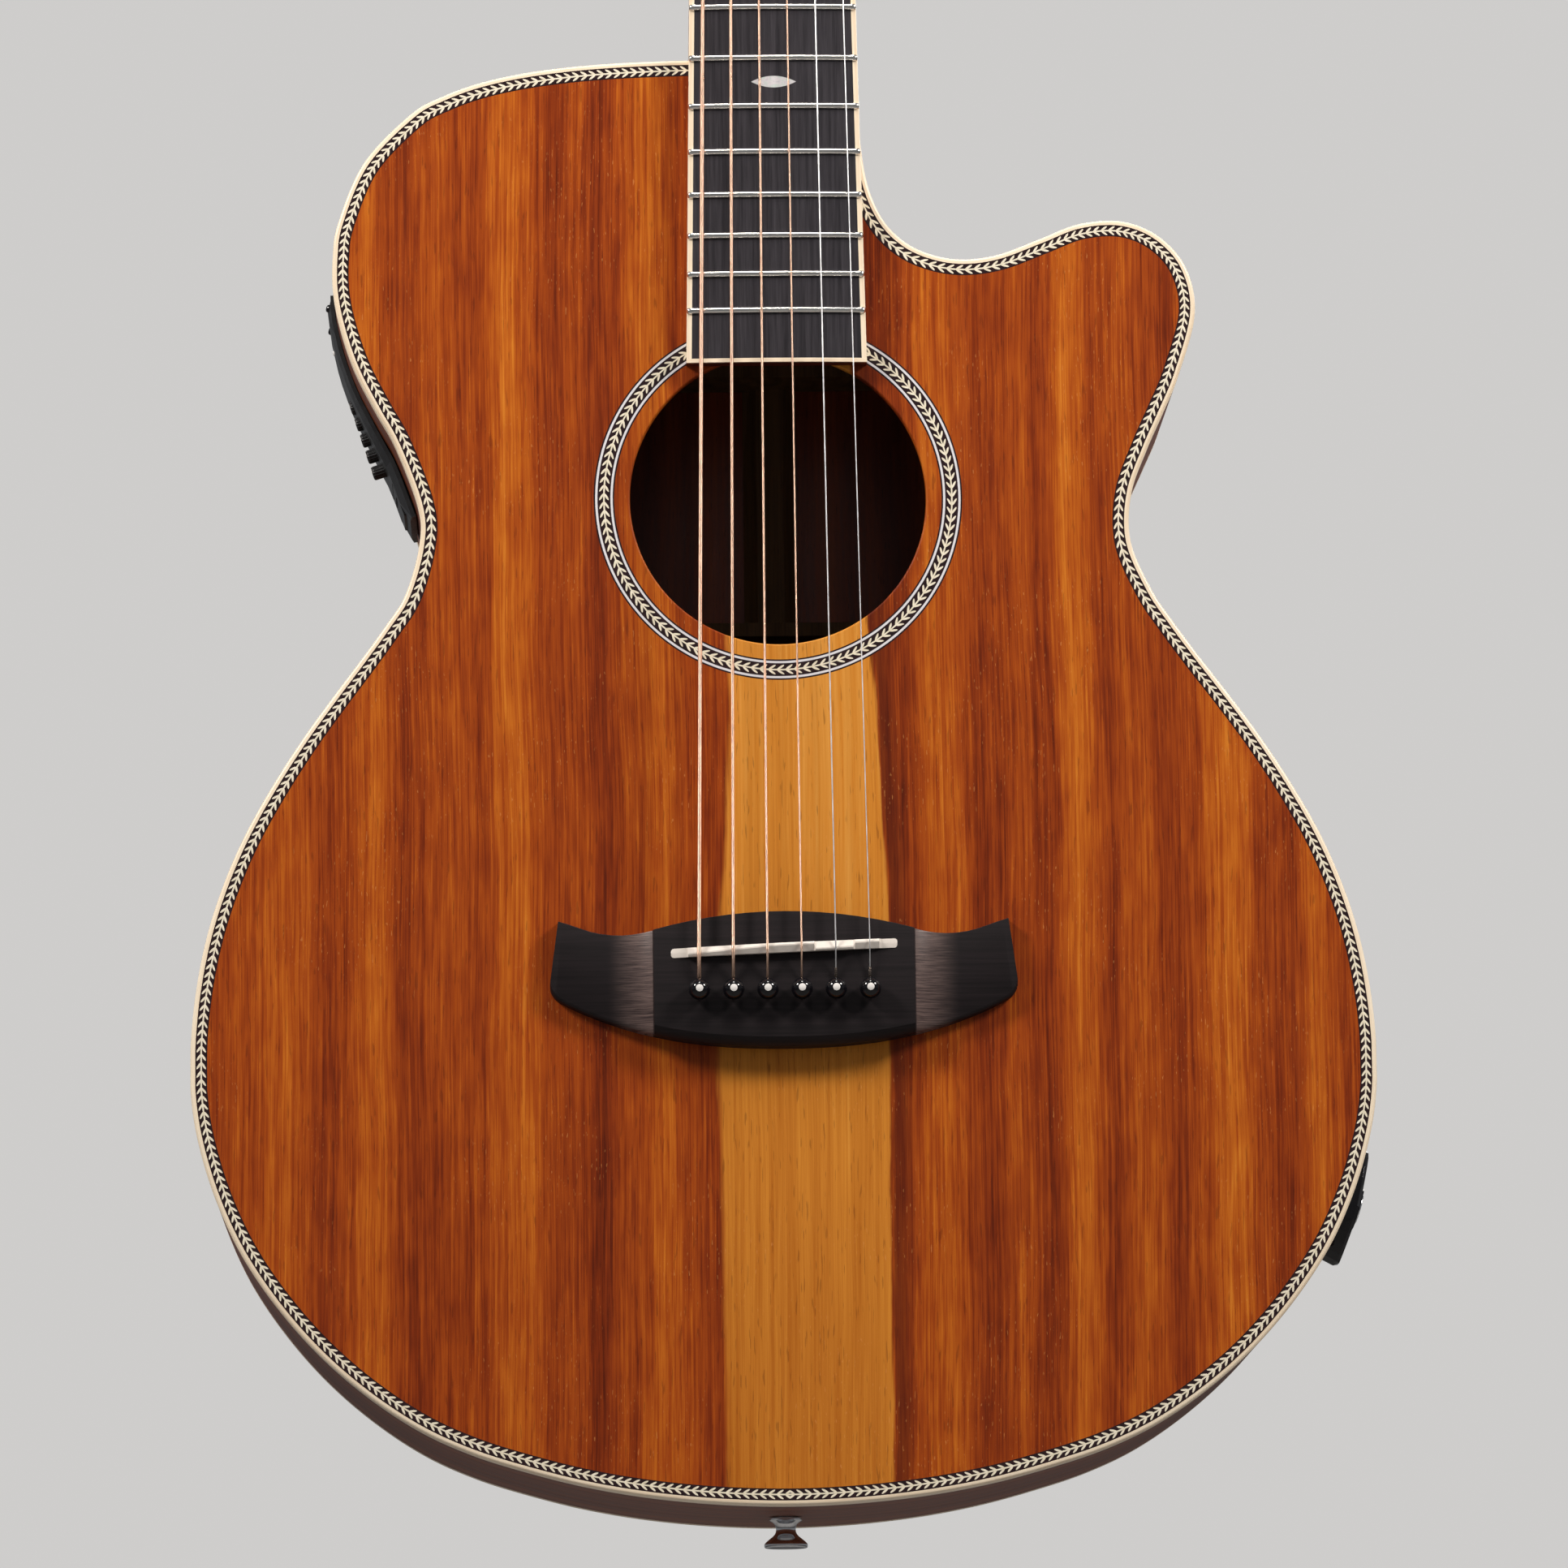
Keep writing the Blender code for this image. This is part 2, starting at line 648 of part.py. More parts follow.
def nut():
    sections = []
    for share in (-1, -0.6, -0.2, 0.2, 0.6, 1):
        x = share * NUT_WIDTH / 2
        top = TOP_Y - STRING_AT_NUT + GAP + crown(x)
        sections.append([Vector((x, TOP_Y - GAP, NUT_Z)), Vector((x, top, NUT_Z)),
                         Vector((x, top + 1.2 * MM, NUT_Z + 5 * MM)),
                         Vector((x, TOP_Y - GAP, NUT_Z + 5 * MM))])
    return loft("nut", sections, "bone")


# Bridge, saddle and pins


def bridge_edges(x):
    """Lowest and highest edge of the bridge's foot at a distance from the centre line, in mm."""
    share = abs(x) / 76.5
    low = 147 + 9 * share ** 2 + 9.5 * share ** 3.2
    if abs(x) < 42:
        return low, 190.7 - 5.7 * (abs(x) / 42) ** 2
    return low, 185 - 1.3 * math.sin(math.pi * (abs(x) - 42) / 22) + 2.6 * ((abs(x) - 42) / 34.5) ** 3


def bridge_thickness(x):
    """A full-height middle, a scooped step beyond it, and thin wings."""
    reach = abs(x) - 42
    if reach <= 0:
        return BRIDGE_HEIGHT
    return (4 + 3.2 * math.exp(-reach / 4.5)) * MM


def bridge_section(x, height):
    low, high = bridge_edges(x)
    chamfer = 0.28 * height / MM
    shape = [(high, 0), (high, height / MM - 0.4), (high - 0.4, height / MM),
             (low + chamfer, height / MM), (low + 0.4, height / MM - chamfer), (low, 0)]
    lean = math.copysign(max(0, abs(x) - 60) / 15 * 0.135, x)
    return [Vector(((x + lean * (163 - z)) * MM, TOP_Y - GAP - rise * MM, TAIL_Z + z * MM))
            for z, rise in shape]


def bridge():
    half = [0, 14, 28, 42, 42.3, 45, 50, 57, 65, 71, 75]
    spots = [-x for x in half[:0:-1]] + half
    piece = loft("bridge", [bridge_section(x, bridge_thickness(x)) for x in spots], "ebony")
    cut(piece, saddle_block("saddle_slot", SLOT_FLOOR, 20 * MM, GAP, None))
    return piece


def saddle_z(x):
    return SADDLE_Z + (-6.2 + 1.45 * x / (36.5 * MM)) * MM


def saddle_block(name, floor, top, margin, material):
    """A bar along the slanted saddle line; a top of None follows the crown under the strings."""
    sections = []
    half = 36.5 * MM
    for share in (-1, -0.6, -0.2, 0.2, 0.6, 1):
        x = share * half
        height = top or STRING_AT_SADDLE - GAP - crown(x)
        reach = x + math.copysign(margin, x) if abs(share) == 1 else x
        width = 1.5 * MM + margin
        z = saddle_z(x)
        sections.append([Vector((reach, TOP_Y - floor, z - width)), Vector((reach, TOP_Y - height, z - width)),
                         Vector((reach, TOP_Y - height, z + width)), Vector((reach, TOP_Y - floor, z + width))])
    return loft(name, sections, material)


def string_x(index, pitch):
    return (index - 2.5) * pitch


def pin_hole(index):
    """A keyhole prism: a round hole for the pin, drawn out towards the saddle for the string."""
    x = string_x(index, STRING_PITCH_SADDLE)
    bm = bmesh.new()
    for depth in (TOP_Y - 20 * MM, TOP_Y + 12 * MM):
        for step in range(8):
            angle = math.pi * (step + 0.5) / 4
            narrow = math.sin(angle) > 0.6
            radius, rise = (1.1 * MM, 3.9 * MM) if narrow else (2.6 * MM, 0)
            bm.verts.new((x + radius * math.cos(angle), depth,
                          BRIDGE_PIN_Z + rise + radius * math.sin(angle)))
    bmesh.ops.convex_hull(bm, input=bm.verts)
    return add_object(f"pin_hole_{index + 1}", finish_mesh("pin_hole", bm), None)


def ball_profile(radius, centre, lowest, count):
    """Points down the outside of a ball, from its pole to a given angle below its middle."""
    angles = [math.pi / 2 - (math.pi / 2 + lowest) * i / count for i in range(count + 1)]
    return [(max(0.0, radius * math.cos(a)) if i else 0.0, centre + radius * math.sin(a))
            for i, a in enumerate(angles)]


def bridge_pin(index):
    place = Vector((string_x(index, STRING_PITCH_SADDLE), TOP_Y, BRIDGE_PIN_Z))
    centre = BRIDGE_HEIGHT + 3.2 * MM
    profile = ball_profile(3.5 * MM, centre, math.radians(50), 5)
    profile += [(2.2 * MM, BRIDGE_HEIGHT - 0.4 * MM), (1.9 * MM, -11 * MM), (0, -12.5 * MM)]
    front = Matrix.Translation(place) @ Matrix.Rotation(math.pi / 2, 4, "X")
    return turned(f"bridge_pin_{index + 1}", profile, 10, "black_plastic", front)


# Strings and tuners


def head_matrix():
    """The frame of the headstock: X across, Y into its thickness, Z up along its tilted face."""
    start = Matrix.Translation((0, TOP_Y, NUT_Z + HEAD_START))
    return start @ Matrix.Rotation(-HEAD_TILT, 4, "X")


def post_place(index):
    """Across and up the headstock: the outer strings go to the posts nearest the nut."""
    bass = index < 3
    x, up = POST_PLACES[index if bass else 5 - index]
    return (-x if bass else x), up


def string_route(index):
    radius = STRING_RADII[index]
    x = string_x(index, STRING_PITCH_SADDLE)
    nut_x = string_x(index, STRING_PITCH_NUT)
    slot_z = BRIDGE_PIN_Z + 4 * MM
    over_bridge = BRIDGE_HEIGHT + 0.6 * MM + radius
    route = [Vector((x, TOP_Y + 8 * MM, slot_z)), Vector((x, TOP_Y - over_bridge, slot_z))]
    over_saddle = STRING_AT_SADDLE - crown(x) + radius
    route.append(Vector((x, TOP_Y - over_saddle, saddle_z(x))))
    over_nut = STRING_AT_NUT - crown(nut_x) + radius
    route.append(Vector((nut_x, TOP_Y - over_nut, NUT_Z)))
    route.append(Vector((nut_x, TOP_Y - over_nut + 1.2 * MM, NUT_Z + 5 * MM)))
    post_x, up = post_place(index)
    inward = -math.copysign(1, post_x)
    winding = 2.6 * MM + GAP + radius
    turns, steps = 1.6, 16
    for step in range(steps + 1):
        angle = 2 * math.pi * turns * step / steps
        height = 10 * MM - 4.2 * MM * step / steps
        route.append(head_matrix() @ Vector((post_x + inward * winding * math.cos(angle), -height,
                                             up + winding * math.sin(angle))))
    return route


def strings():
    for index, radius in enumerate(STRING_RADII):
        material = "bronze_string" if index < 4 else "steel_string"
        tube(f"string_{index + 1}", string_route(index), radius, material)


def tuner_housing(index, frame):
    """A closed gear case behind the headstock, with the threaded bushing that holds it in front."""
    x, up = post_place(index)
    outward = math.copysign(1, x)
    back = HEAD_THICKNESS + GAP
    case = box(f"tuner_housing_{index + 1}", (x - 8 * MM, back, up - 8 * MM),
               (x + 8 * MM, back + 12 * MM, up + 15 * MM), "chrome", 2 * MM, None, frame)
    parts = [
        cylinder(f"bushing_{index + 1}", (x, -2 * MM, up), (x, back + 3 * MM, up), 4.5 * MM, 10,
                 parent=frame),
        cylinder(f"bushing_head_{index + 1}", (x, -2.4 * MM, up), (x, -GAP, up), 5.8 * MM, 10,
                 parent=frame),
    ]
    join(case, *parts)
    shaft = Vector((x, WORM_DEPTH, up + WORM_OFFSET))
    reach = Vector((outward * MM, 0, 0))
    cut(case,
        cylinder(f"post_bore_{index + 1}", (x, -9 * MM, up), (x, WORM_DEPTH + GAP, up), 3.3 * MM, 10,
                 parent=frame),
        cylinder(f"worm_bore_{index + 1}", shaft + reach * 3.6, shaft + reach * 14, 2.5 * MM, 10,
                 parent=frame))


def tuner_post(index, frame):
    """A post with a waist for the string."""
    x, up = post_place(index)
    profile = [(0, 17), (2.4, 17), (3, 16), (3, 12.6), (2.6, 12), (2.6, 4.4), (3, 3.8),
               (3, -20.6), (0, -20.6)]
    spot = Matrix.Translation((x, 0, up)) @ Matrix.Rotation(math.pi / 2, 4, "X")
    turned(f"tuner_post_{index + 1}", [(r * MM, h * MM) for r, h in profile], 10, "chrome", spot, frame)


def tuner_key(index, frame):
    """The worm's shaft with its oval button, along X from its own origin."""
    x, up = post_place(index)
    outward = math.copysign(1, x)
    sizes = [(4, 2.2, 2.2), (17, 2.2, 2.2), (18, 3.4, 3), (20.5, 7.6, 3.8), (24, 9.2, 4.2),
             (29, 8.6, 4), (32, 5, 2.4)]
    sections = []
    for reach, half_up, half_deep in sizes:
        ring = [2 * math.pi * step / 8 for step in range(8)]
        sections.append([Vector((outward * reach * MM, half_deep * MM * math.sin(a),
                                 half_up * MM * math.cos(a))) for a in ring])
    spot = Matrix.Translation((x, WORM_DEPTH, up + WORM_OFFSET))
    loft(f"tuner_key_{index + 1}", sections, "chrome", matrix=spot, parent=frame)


def headstock_fittings(neck_piece):
    frame = bpy.data.objects.new("headstock_frame", None)
    GUITAR.objects.link(frame)
    frame.matrix_world = head_matrix()
    for index in range(6):
        x, up = post_place(index)
        hole = cylinder(f"head_hole_{index + 1}", (x, -9 * MM, up), (x, 30 * MM, up), 4.8 * MM, 10,
                        parent=frame)
        cut(neck_piece, hole)
        tuner_housing(index, frame)
        tuner_post(index, frame)
        tuner_key(index, frame)


# Electronics and strap pin


def preamp(bass_side):
    """The control panel in the bass side: a crowned bezel, a module behind it, knobs and a door."""
    low = place_at_height(PREAMP_HEIGHTS[0], 0, CORNER_INDEX)
    high = place_at_height(PREAMP_HEIGHTS[1], 0, CORNER_INDEX)
    front, back = TOP_Y + 28 * MM, TOP_Y + 72 * MM
    middle = (front + back) / 2

    def panel_rise(position):
        share = (position - low) / (high - low) * (len(PANEL_RISES) - 1)
        first = min(int(share), len(PANEL_RISES) - 2)
        step = PANEL_RISES[first + 1] - PANEL_RISES[first]
        return PANEL_RISES[first] + step * (share - first)

    sections = []
    for station in range(17):
        position = low + (high - low) * station / 16
        edge = 1.2 * MM if station in (0, 16) else 0.0
        crown_rise = panel_rise(position) - edge
        rails = [(GAP, 0), (1.6 * MM, 0.2 * MM), (crown_rise, 6 * MM)]
        forward = [on_side(position, rise, front + depth) for rise, depth in rails]
        backward = [on_side(position, rise, back - depth) for rise, depth in reversed(rails)]
        sections.append(forward + backward)
    housing = loft("preamp_housing", sections, "black_plastic")
    core_low, core_high = walk(low, 1.6 * MM), walk(high, -6 * MM)
    inner = (front + 4 * MM, back - 4 * MM)
    core = side_block("preamp_core", core_low, core_high, inner, (-22 * MM, 1.2 * MM), None, 11)
    opening = side_block("preamp_opening", walk(core_low, -GAP * 2), walk(core_high, GAP * 2),
                         (inner[0] - 2 * GAP, inner[1] + 2 * GAP), (-8 * MM, 4 * MM), None, 11)
    cut(bass_side, opening)
    door_low, door_high = walk(low, 2.6 * MM), walk(low, 14.2 * MM)
    door_rise = panel_rise(door_low)
    door = side_block("battery_door", door_low, door_high, (middle - 13 * MM, middle + 13 * MM),
                      (door_rise - 3 * MM, door_rise), "black_plastic", 4)
    hinge = on_side(door_low, door_rise, middle)
    door.data.transform(Matrix.Translation(-hinge))
    door.location = hinge
    pocket = side_block("battery_pocket", walk(door_low, -GAP), walk(door_high, 2 * GAP),
                        (middle - 13.3 * MM, middle + 13.3 * MM), (-16 * MM, 8 * MM), None, 4)
    join(housing, core)
    cut(housing, pocket)
    knob_places = [place_at_height(height, 0, CORNER_INDEX) for height in KNOB_HEIGHTS]
    ends = [on_side(place, panel_rise(place) + rise, middle) for place, rise in zip(knob_places, KNOB_RISES)]
    along = (ends[1] - ends[0]).normalized()
    deep = Vector((0, 1, 0))
    out = along.cross(deep)
    turn = Matrix((along, deep, out)).transposed().to_4x4()
    for number in range(KNOB_COUNT):
        foot = ends[0].lerp(ends[1], number / (KNOB_COUNT - 1)) - out * KNOB_LENGTH
        profile = [(0, 6), (1.95, 6), (2.35, 5.6), (2.35, 0), (0, 0)]
        turned(f"preamp_knob_{number + 1}", [(r * MM, h * MM) for r, h in profile], 16,
               "black_plastic", Matrix.Translation(foot) @ turn)
        cut(housing, cylinder(f"knob_well_{number + 1}", foot - out * GAP, foot + out * 10 * MM, 2.7 * MM, 16))


def jack_plate(treble_side):
    """An oval plate on the treble side, thicker towards the tail, with a barrel round the jack's bore."""
    centre = place_at_height(JACK_HEIGHT, CORNER_INDEX, len(OUTLINE) - 1)
    frame = side_frame(centre, no_rise, 0)
    sections = []
    for step in range(13):
        angle = math.pi * (0.3 + 11.4 * step / 12) / 12
        place = walk(centre, 19 * MM * math.cos(angle))
        half = 12 * MM * math.sin(angle)
        rise = JACK_RISE + JACK_SLOPE * math.cos(angle)
        shoulder = rise - 1 * MM
        if step in (0, 12):
            rise -= 1.5 * MM
            shoulder = rise - 1 * MM
        sections.append([on_side(place, GAP, -half), on_side(place, shoulder, -half),
                         on_side(place, rise, -0.85 * half), on_side(place, rise, 0.85 * half),
                         on_side(place, shoulder, half), on_side(place, GAP, half)])
    plate = loft("jack_plate", sections, "black_plastic")

    def along(distance):
        return frame @ Vector((0, 0, distance))

    join(plate, cylinder("jack_collar", along(1.2 * MM), along(JACK_RISE + 0.4 * MM), 7 * MM, 20),
         cylinder("jack_barrel", along(-30 * MM), along(1.4 * MM), 6 * MM, 16))
    cut(plate, cylinder("jack_bore", along(-27 * MM), along(9 * MM), 3.6 * MM, 16))
    cut(treble_side, cylinder("jack_side_hole", along(-12 * MM), along(9 * MM), 6.6 * MM, 16))


def end_pin(bass_side, treble_side, block):
    profile = [(0, 10), (6.7, 10), (7.1, 9.5), (7.1, 8.7), (6.2, 7.8), (3.6, 5.8), (3.2, 4.2),
               (3.5, 2.4), (5.3, 1.2), (5.3, 0.3), (3, 0.3), (3, -20), (0, -21)]
    spot = Matrix.Translation((0, 0, TAIL_Z)) @ Matrix.Rotation(math.pi, 4, "X")
    turned("end_pin", [(r * MM, h * MM) for r, h in profile], 16, "chrome", spot)
    hole = cylinder("end_pin_hole", (0, 0, TAIL_Z - 4 * MM), (0, 0, TAIL_Z + 23 * MM), 3.4 * MM, 16)
    for piece in (bass_side, treble_side, block):
        cut(piece, hole)


# Assembly


def build():
    board = soundboard()
    rosette()
    top_trim()
    back_binding()
    bass_side, treble_side = sides()
    linings()
    back_plate()
    tail_block, neck_block = end_blocks()
    top_bracing = soundboard_bracing()
    back_bracing()
    neck_piece = neck()
    mortise = box("mortise", (-9.3 * MM, TOP_Y + 21.7 * MM, BODY_TOP_Z - 21 * MM),
                  (9.3 * MM, TOP_Y + 68.3 * MM, BODY_TOP_Z + 2 * MM), None)
    cut(bass_side, mortise)
    cut(neck_block, mortise)
    truss_rod()
    fingerboard()
    nut()
    bridge_piece = bridge()
    saddle_block("saddle", SLOT_FLOOR + 1.6 * MM, None, 0, "bone")
    saddle_block("piezo_pickup", SLOT_FLOOR + GAP, SLOT_FLOOR + 1.3 * MM, -GAP, "steel")
    for index in range(6):
        hole = pin_hole(index)
        for piece in (board, top_bracing, bridge_piece):
            cut(piece, hole)
        bridge_pin(index)
    strings()
    headstock_fittings(neck_piece)
    preamp(bass_side)
    jack_plate(treble_side)
    end_pin(bass_side, treble_side, tail_block)


clear_scene()
GUITAR = make_collection("acoustic_guitar")
CUTTERS = make_collection("cutters")
OUTLINE, CORNER_INDEX = make_outline()
MITRES = inward_mitres(OUTLINE)
build()
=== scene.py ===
"""The looks of a steel-string acoustic guitar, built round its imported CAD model."""

import json
import math

import bmesh
import bpy
import numpy as np
from mathutils import Matrix, Vector
from mathutils.bvhtree import BVHTree
from mathutils.geometry import delaunay_2d_cdt


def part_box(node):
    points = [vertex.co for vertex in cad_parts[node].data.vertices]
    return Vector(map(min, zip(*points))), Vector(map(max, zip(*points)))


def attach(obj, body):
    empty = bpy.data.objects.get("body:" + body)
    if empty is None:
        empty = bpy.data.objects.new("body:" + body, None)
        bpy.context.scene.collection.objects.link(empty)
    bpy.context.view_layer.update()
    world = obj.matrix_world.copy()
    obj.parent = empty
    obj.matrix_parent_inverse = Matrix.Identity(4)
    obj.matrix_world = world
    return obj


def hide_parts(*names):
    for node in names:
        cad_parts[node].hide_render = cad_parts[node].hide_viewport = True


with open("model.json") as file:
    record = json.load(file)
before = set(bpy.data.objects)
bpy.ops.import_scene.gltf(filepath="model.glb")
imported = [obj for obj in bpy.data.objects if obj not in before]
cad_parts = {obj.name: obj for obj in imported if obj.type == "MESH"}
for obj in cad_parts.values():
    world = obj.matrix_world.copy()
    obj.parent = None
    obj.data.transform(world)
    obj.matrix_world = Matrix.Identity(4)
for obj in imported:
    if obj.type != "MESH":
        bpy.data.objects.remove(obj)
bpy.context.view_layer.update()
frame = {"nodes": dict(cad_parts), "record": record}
NODES = frame["nodes"]

# Places that the frame gives, in metres: X across, Y into the body, Z up.
MM = 0.001
SCALE_LENGTH = 650 * MM
TOP_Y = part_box("top_binding")[0].y
HOLE_Z = (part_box("rosette")[0].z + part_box("rosette")[1].z) / 2
NUT_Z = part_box("nut")[0].z
SADDLE_Z = NUT_Z - SCALE_LENGTH
BOARD_END_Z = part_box("fingerboard")[0].z
TAIL_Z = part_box("top_binding")[0].z
BODY_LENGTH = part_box("top_binding")[1].z - TAIL_Z
PIN_Z = SADDLE_Z - 19.7 * MM

# Sizes of the visible work.
BINDING = 1.65 * MM
PURFLING = 3.75 * MM
PLATE = 2.8 * MM
DOME = 4 * MM
LAP = 0.05 * MM  # how far a plate or side reaches under its neighbour
HOLE_RADIUS = 48.3 * MM
ROSETTE = (53.4 * MM, 60.1 * MM)
OUTLINE_STEP = 1.8 * MM
BOARD_HEIGHT = 6.4 * MM
CROWN_RADIUS = 406 * MM
BRIDGE_HEIGHT = 9 * MM
BLOCK = 42  # half the length of the bridge's middle block, in millimetres
PITCH_SADDLE = 11 * MM
PITCH_NUT = 7.3 * MM
STRING_RADII = [0.67 * MM, 0.53 * MM, 0.4 * MM, 0.3 * MM, 0.2 * MM, 0.15 * MM]
HEAD_TILT = math.radians(14)
HEAD_START = 6 * MM
POST_PLACES = [(21, 32), (20.5, 72), (20, 112)]  # across and up the headstock, in millimetres

# Turns: a piece's Z axis faces the front or the back, and the headstock leans back.
QUARTER = math.pi / 2
FORWARD = Matrix.Rotation(QUARTER, 4, "X")
REARWARD = Matrix.Rotation(-QUARTER, 4, "X")
HEAD = Matrix.Translation((0, TOP_Y, NUT_Z + HEAD_START)) @ Matrix.Rotation(-HEAD_TILT, 4, "X")


# Node materials


class Shader:
    """A Principled material with short calls for its procedural nodes."""

    def __init__(self, name, roughness=0.5, metallic=0.0, specular=0.5, coat=0.0, coat_roughness=0.1):
        self.material = bpy.data.materials.new(name)
        self.material.use_nodes = True
        self.tree = self.material.node_tree
        self.out = self.tree.nodes["Principled BSDF"]
        for key, value in (("Roughness", roughness), ("Metallic", metallic), ("Coat Weight", coat),
                           ("Specular IOR Level", specular), ("Coat Roughness", coat_roughness)):
            self.set(key, value)

    def put(self, value, socket):
        if isinstance(value, bpy.types.NodeSocket):
            self.tree.links.new(value, socket)
        else:
            socket.default_value = value

    def set(self, name, value):
        self.put(value, self.out.inputs[name])

    def node(self, kind, *values, **settings):
        made = self.tree.nodes.new(kind)
        for key, value in settings.items():
            setattr(made, key, value)
        for value, socket in zip(values, made.inputs):
            if value is not None:
                self.put(value, socket)
        return made

    def math(self, operation, a, b=0.0, c=0.0):
        return self.node("ShaderNodeMath", a, b, c, operation=operation).outputs[0]

    def plus(self, a, b):
        return self.math("ADD", a, b)

    def minus(self, a, b):
        return self.math("SUBTRACT", a, b)

    def times(self, a, b):
        return self.math("MULTIPLY", a, b)

    def vary(self, tone, noise, amount):
        """A tone pushed up and down by a noise about its middle."""
        return self.math("MULTIPLY_ADD", self.minus(noise, 0.5), amount, tone)

    def position(self):
        return self.node("ShaderNodeTexCoord").outputs["Object"]

    def split(self, vector):
        return self.node("ShaderNodeSeparateXYZ", vector).outputs

    def join(self, x, y, z):
        return self.node("ShaderNodeCombineXYZ", x, y, z).outputs[0]

    def uv(self):
        return self.split(self.node("ShaderNodeUVMap", uv_map="UVMap").outputs[0])

    def noise(self, vector, scale, detail=2.0, roughness=0.5, distortion=0.0):
        """Noise from 0 to 1, at that many features per metre along each axis."""
        if isinstance(scale, (int, float)):
            scale = (scale, scale, scale)
        spread = self.node("ShaderNodeVectorMath", vector, scale, operation="MULTIPLY")
        made = self.node("ShaderNodeTexNoise")
        self.put(spread.outputs[0], made.inputs["Vector"])
        for key, value in (("Scale", 1.0), ("Detail", detail), ("Roughness", roughness),
                           ("Distortion", distortion)):
            made.inputs[key].default_value = value
        return made.outputs["Fac"]

    def range(self, value, low, high, to_low=0.0, to_high=1.0, smooth=True):
        kind = "SMOOTHSTEP" if smooth else "LINEAR"
        made = self.node("ShaderNodeMapRange", value, low, high, to_low, to_high, interpolation_type=kind)
        return made.outputs[0]

    def ramp(self, value, stops, interpolation="LINEAR"):
        made = self.node("ShaderNodeValToRGB", value)
        made.color_ramp.interpolation = interpolation
        elements = made.color_ramp.elements
        while len(elements) < len(stops):
            elements.new(0.5)
        for element, (place, colour) in zip(elements, stops):
            element.position = place
            element.color = (*colour, 1)
        return made.outputs[0]

    def mix(self, share, a, b):
        made = self.node("ShaderNodeMix", data_type="RGBA")
        for value, socket in ((share, made.inputs[0]), (a, made.inputs[6]), (b, made.inputs[7])):
            if isinstance(value, tuple) and len(value) == 3:
                value = (*value, 1)
            self.put(value, socket)
        return made.outputs[2]

    def pores(self, colour, place, along, share, dark):
        """A colour with fine dark pores of that many per metre of grain, and the pores' mask."""
        pore = self.range(self.noise(place, (2600, 2600, along), 1.0), 0.66, 0.74)
        return self.mix(self.times(pore, share), colour, dark), pore

    def bump(self, height, distance, strength=1.0):
        made = self.node("ShaderNodeBump")
        made.inputs["Strength"].default_value = strength
        made.inputs["Distance"].default_value = distance
        self.put(height, made.inputs["Height"])
        self.tree.links.new(made.outputs[0], self.out.inputs["Normal"])

    def done(self, colour, roughness=None):
        self.set("Base Color", colour)
        if roughness is not None:
            self.set("Roughness", roughness)
        return self.material


def srgb(r, g, b):
    """A colour given as 0 to 255 display values."""
    return tuple(c / 255 / 12.92 if c <= 10 else ((c / 255 + 0.055) / 1.055) ** 2.4 for c in (r, g, b))


# The top's tone from dark 0 to bright 1, at places across it in millimetres.
TOP_STRIPES = [
    (-190, 0.3), (-176, 0.42), (-160, 0.62), (-150, 0.3), (-132, 0.66), (-120, 0.28),
    (-104, 0.52), (-95, 0.36), (-85, 0.72), (-75, 0.28), (-64, 0.4), (-57, 0.2),
    (-48, 0.44), (-39, 0.7), (-29, 0.36), (-20, 0.3), (38, 0.24), (51, 0.66), (68, 0.24),
    (78, 0.5), (87, 0.26), (97, 0.74), (107, 0.34), (115, 0.56), (128, 0.26),
    (145, 0.7), (165, 0.22), (172, 0.62), (190, 0.35),
]


def wood_fibres(shader, place, warp):
    """Coordinates bent a little, and three sizes of streak along Z."""
    x, y, z = shader.split(place)
    sway = shader.noise(shader.join(0.0, y, z), (5, 5, 6), 1.0)
    ripple = shader.noise(place, (25, 25, 9), 2.0)
    sideways = shader.math("MULTIPLY_ADD", sway, warp, -warp / 2)
    sideways = shader.math("MULTIPLY_ADD", ripple, warp * 0.7, sideways)
    bent = shader.plus(x, sideways)
    fibre = shader.join(bent, y, z)
    broad = shader.noise(fibre, (110, 110, 2.2), 3.0, 0.55)
    fine = shader.noise(fibre, (620, 620, 7), 3.0, 0.6)
    hair = shader.noise(fibre, (2300, 2300, 34), 2.0, 0.6)
    return bent, fibre, broad, fine, hair


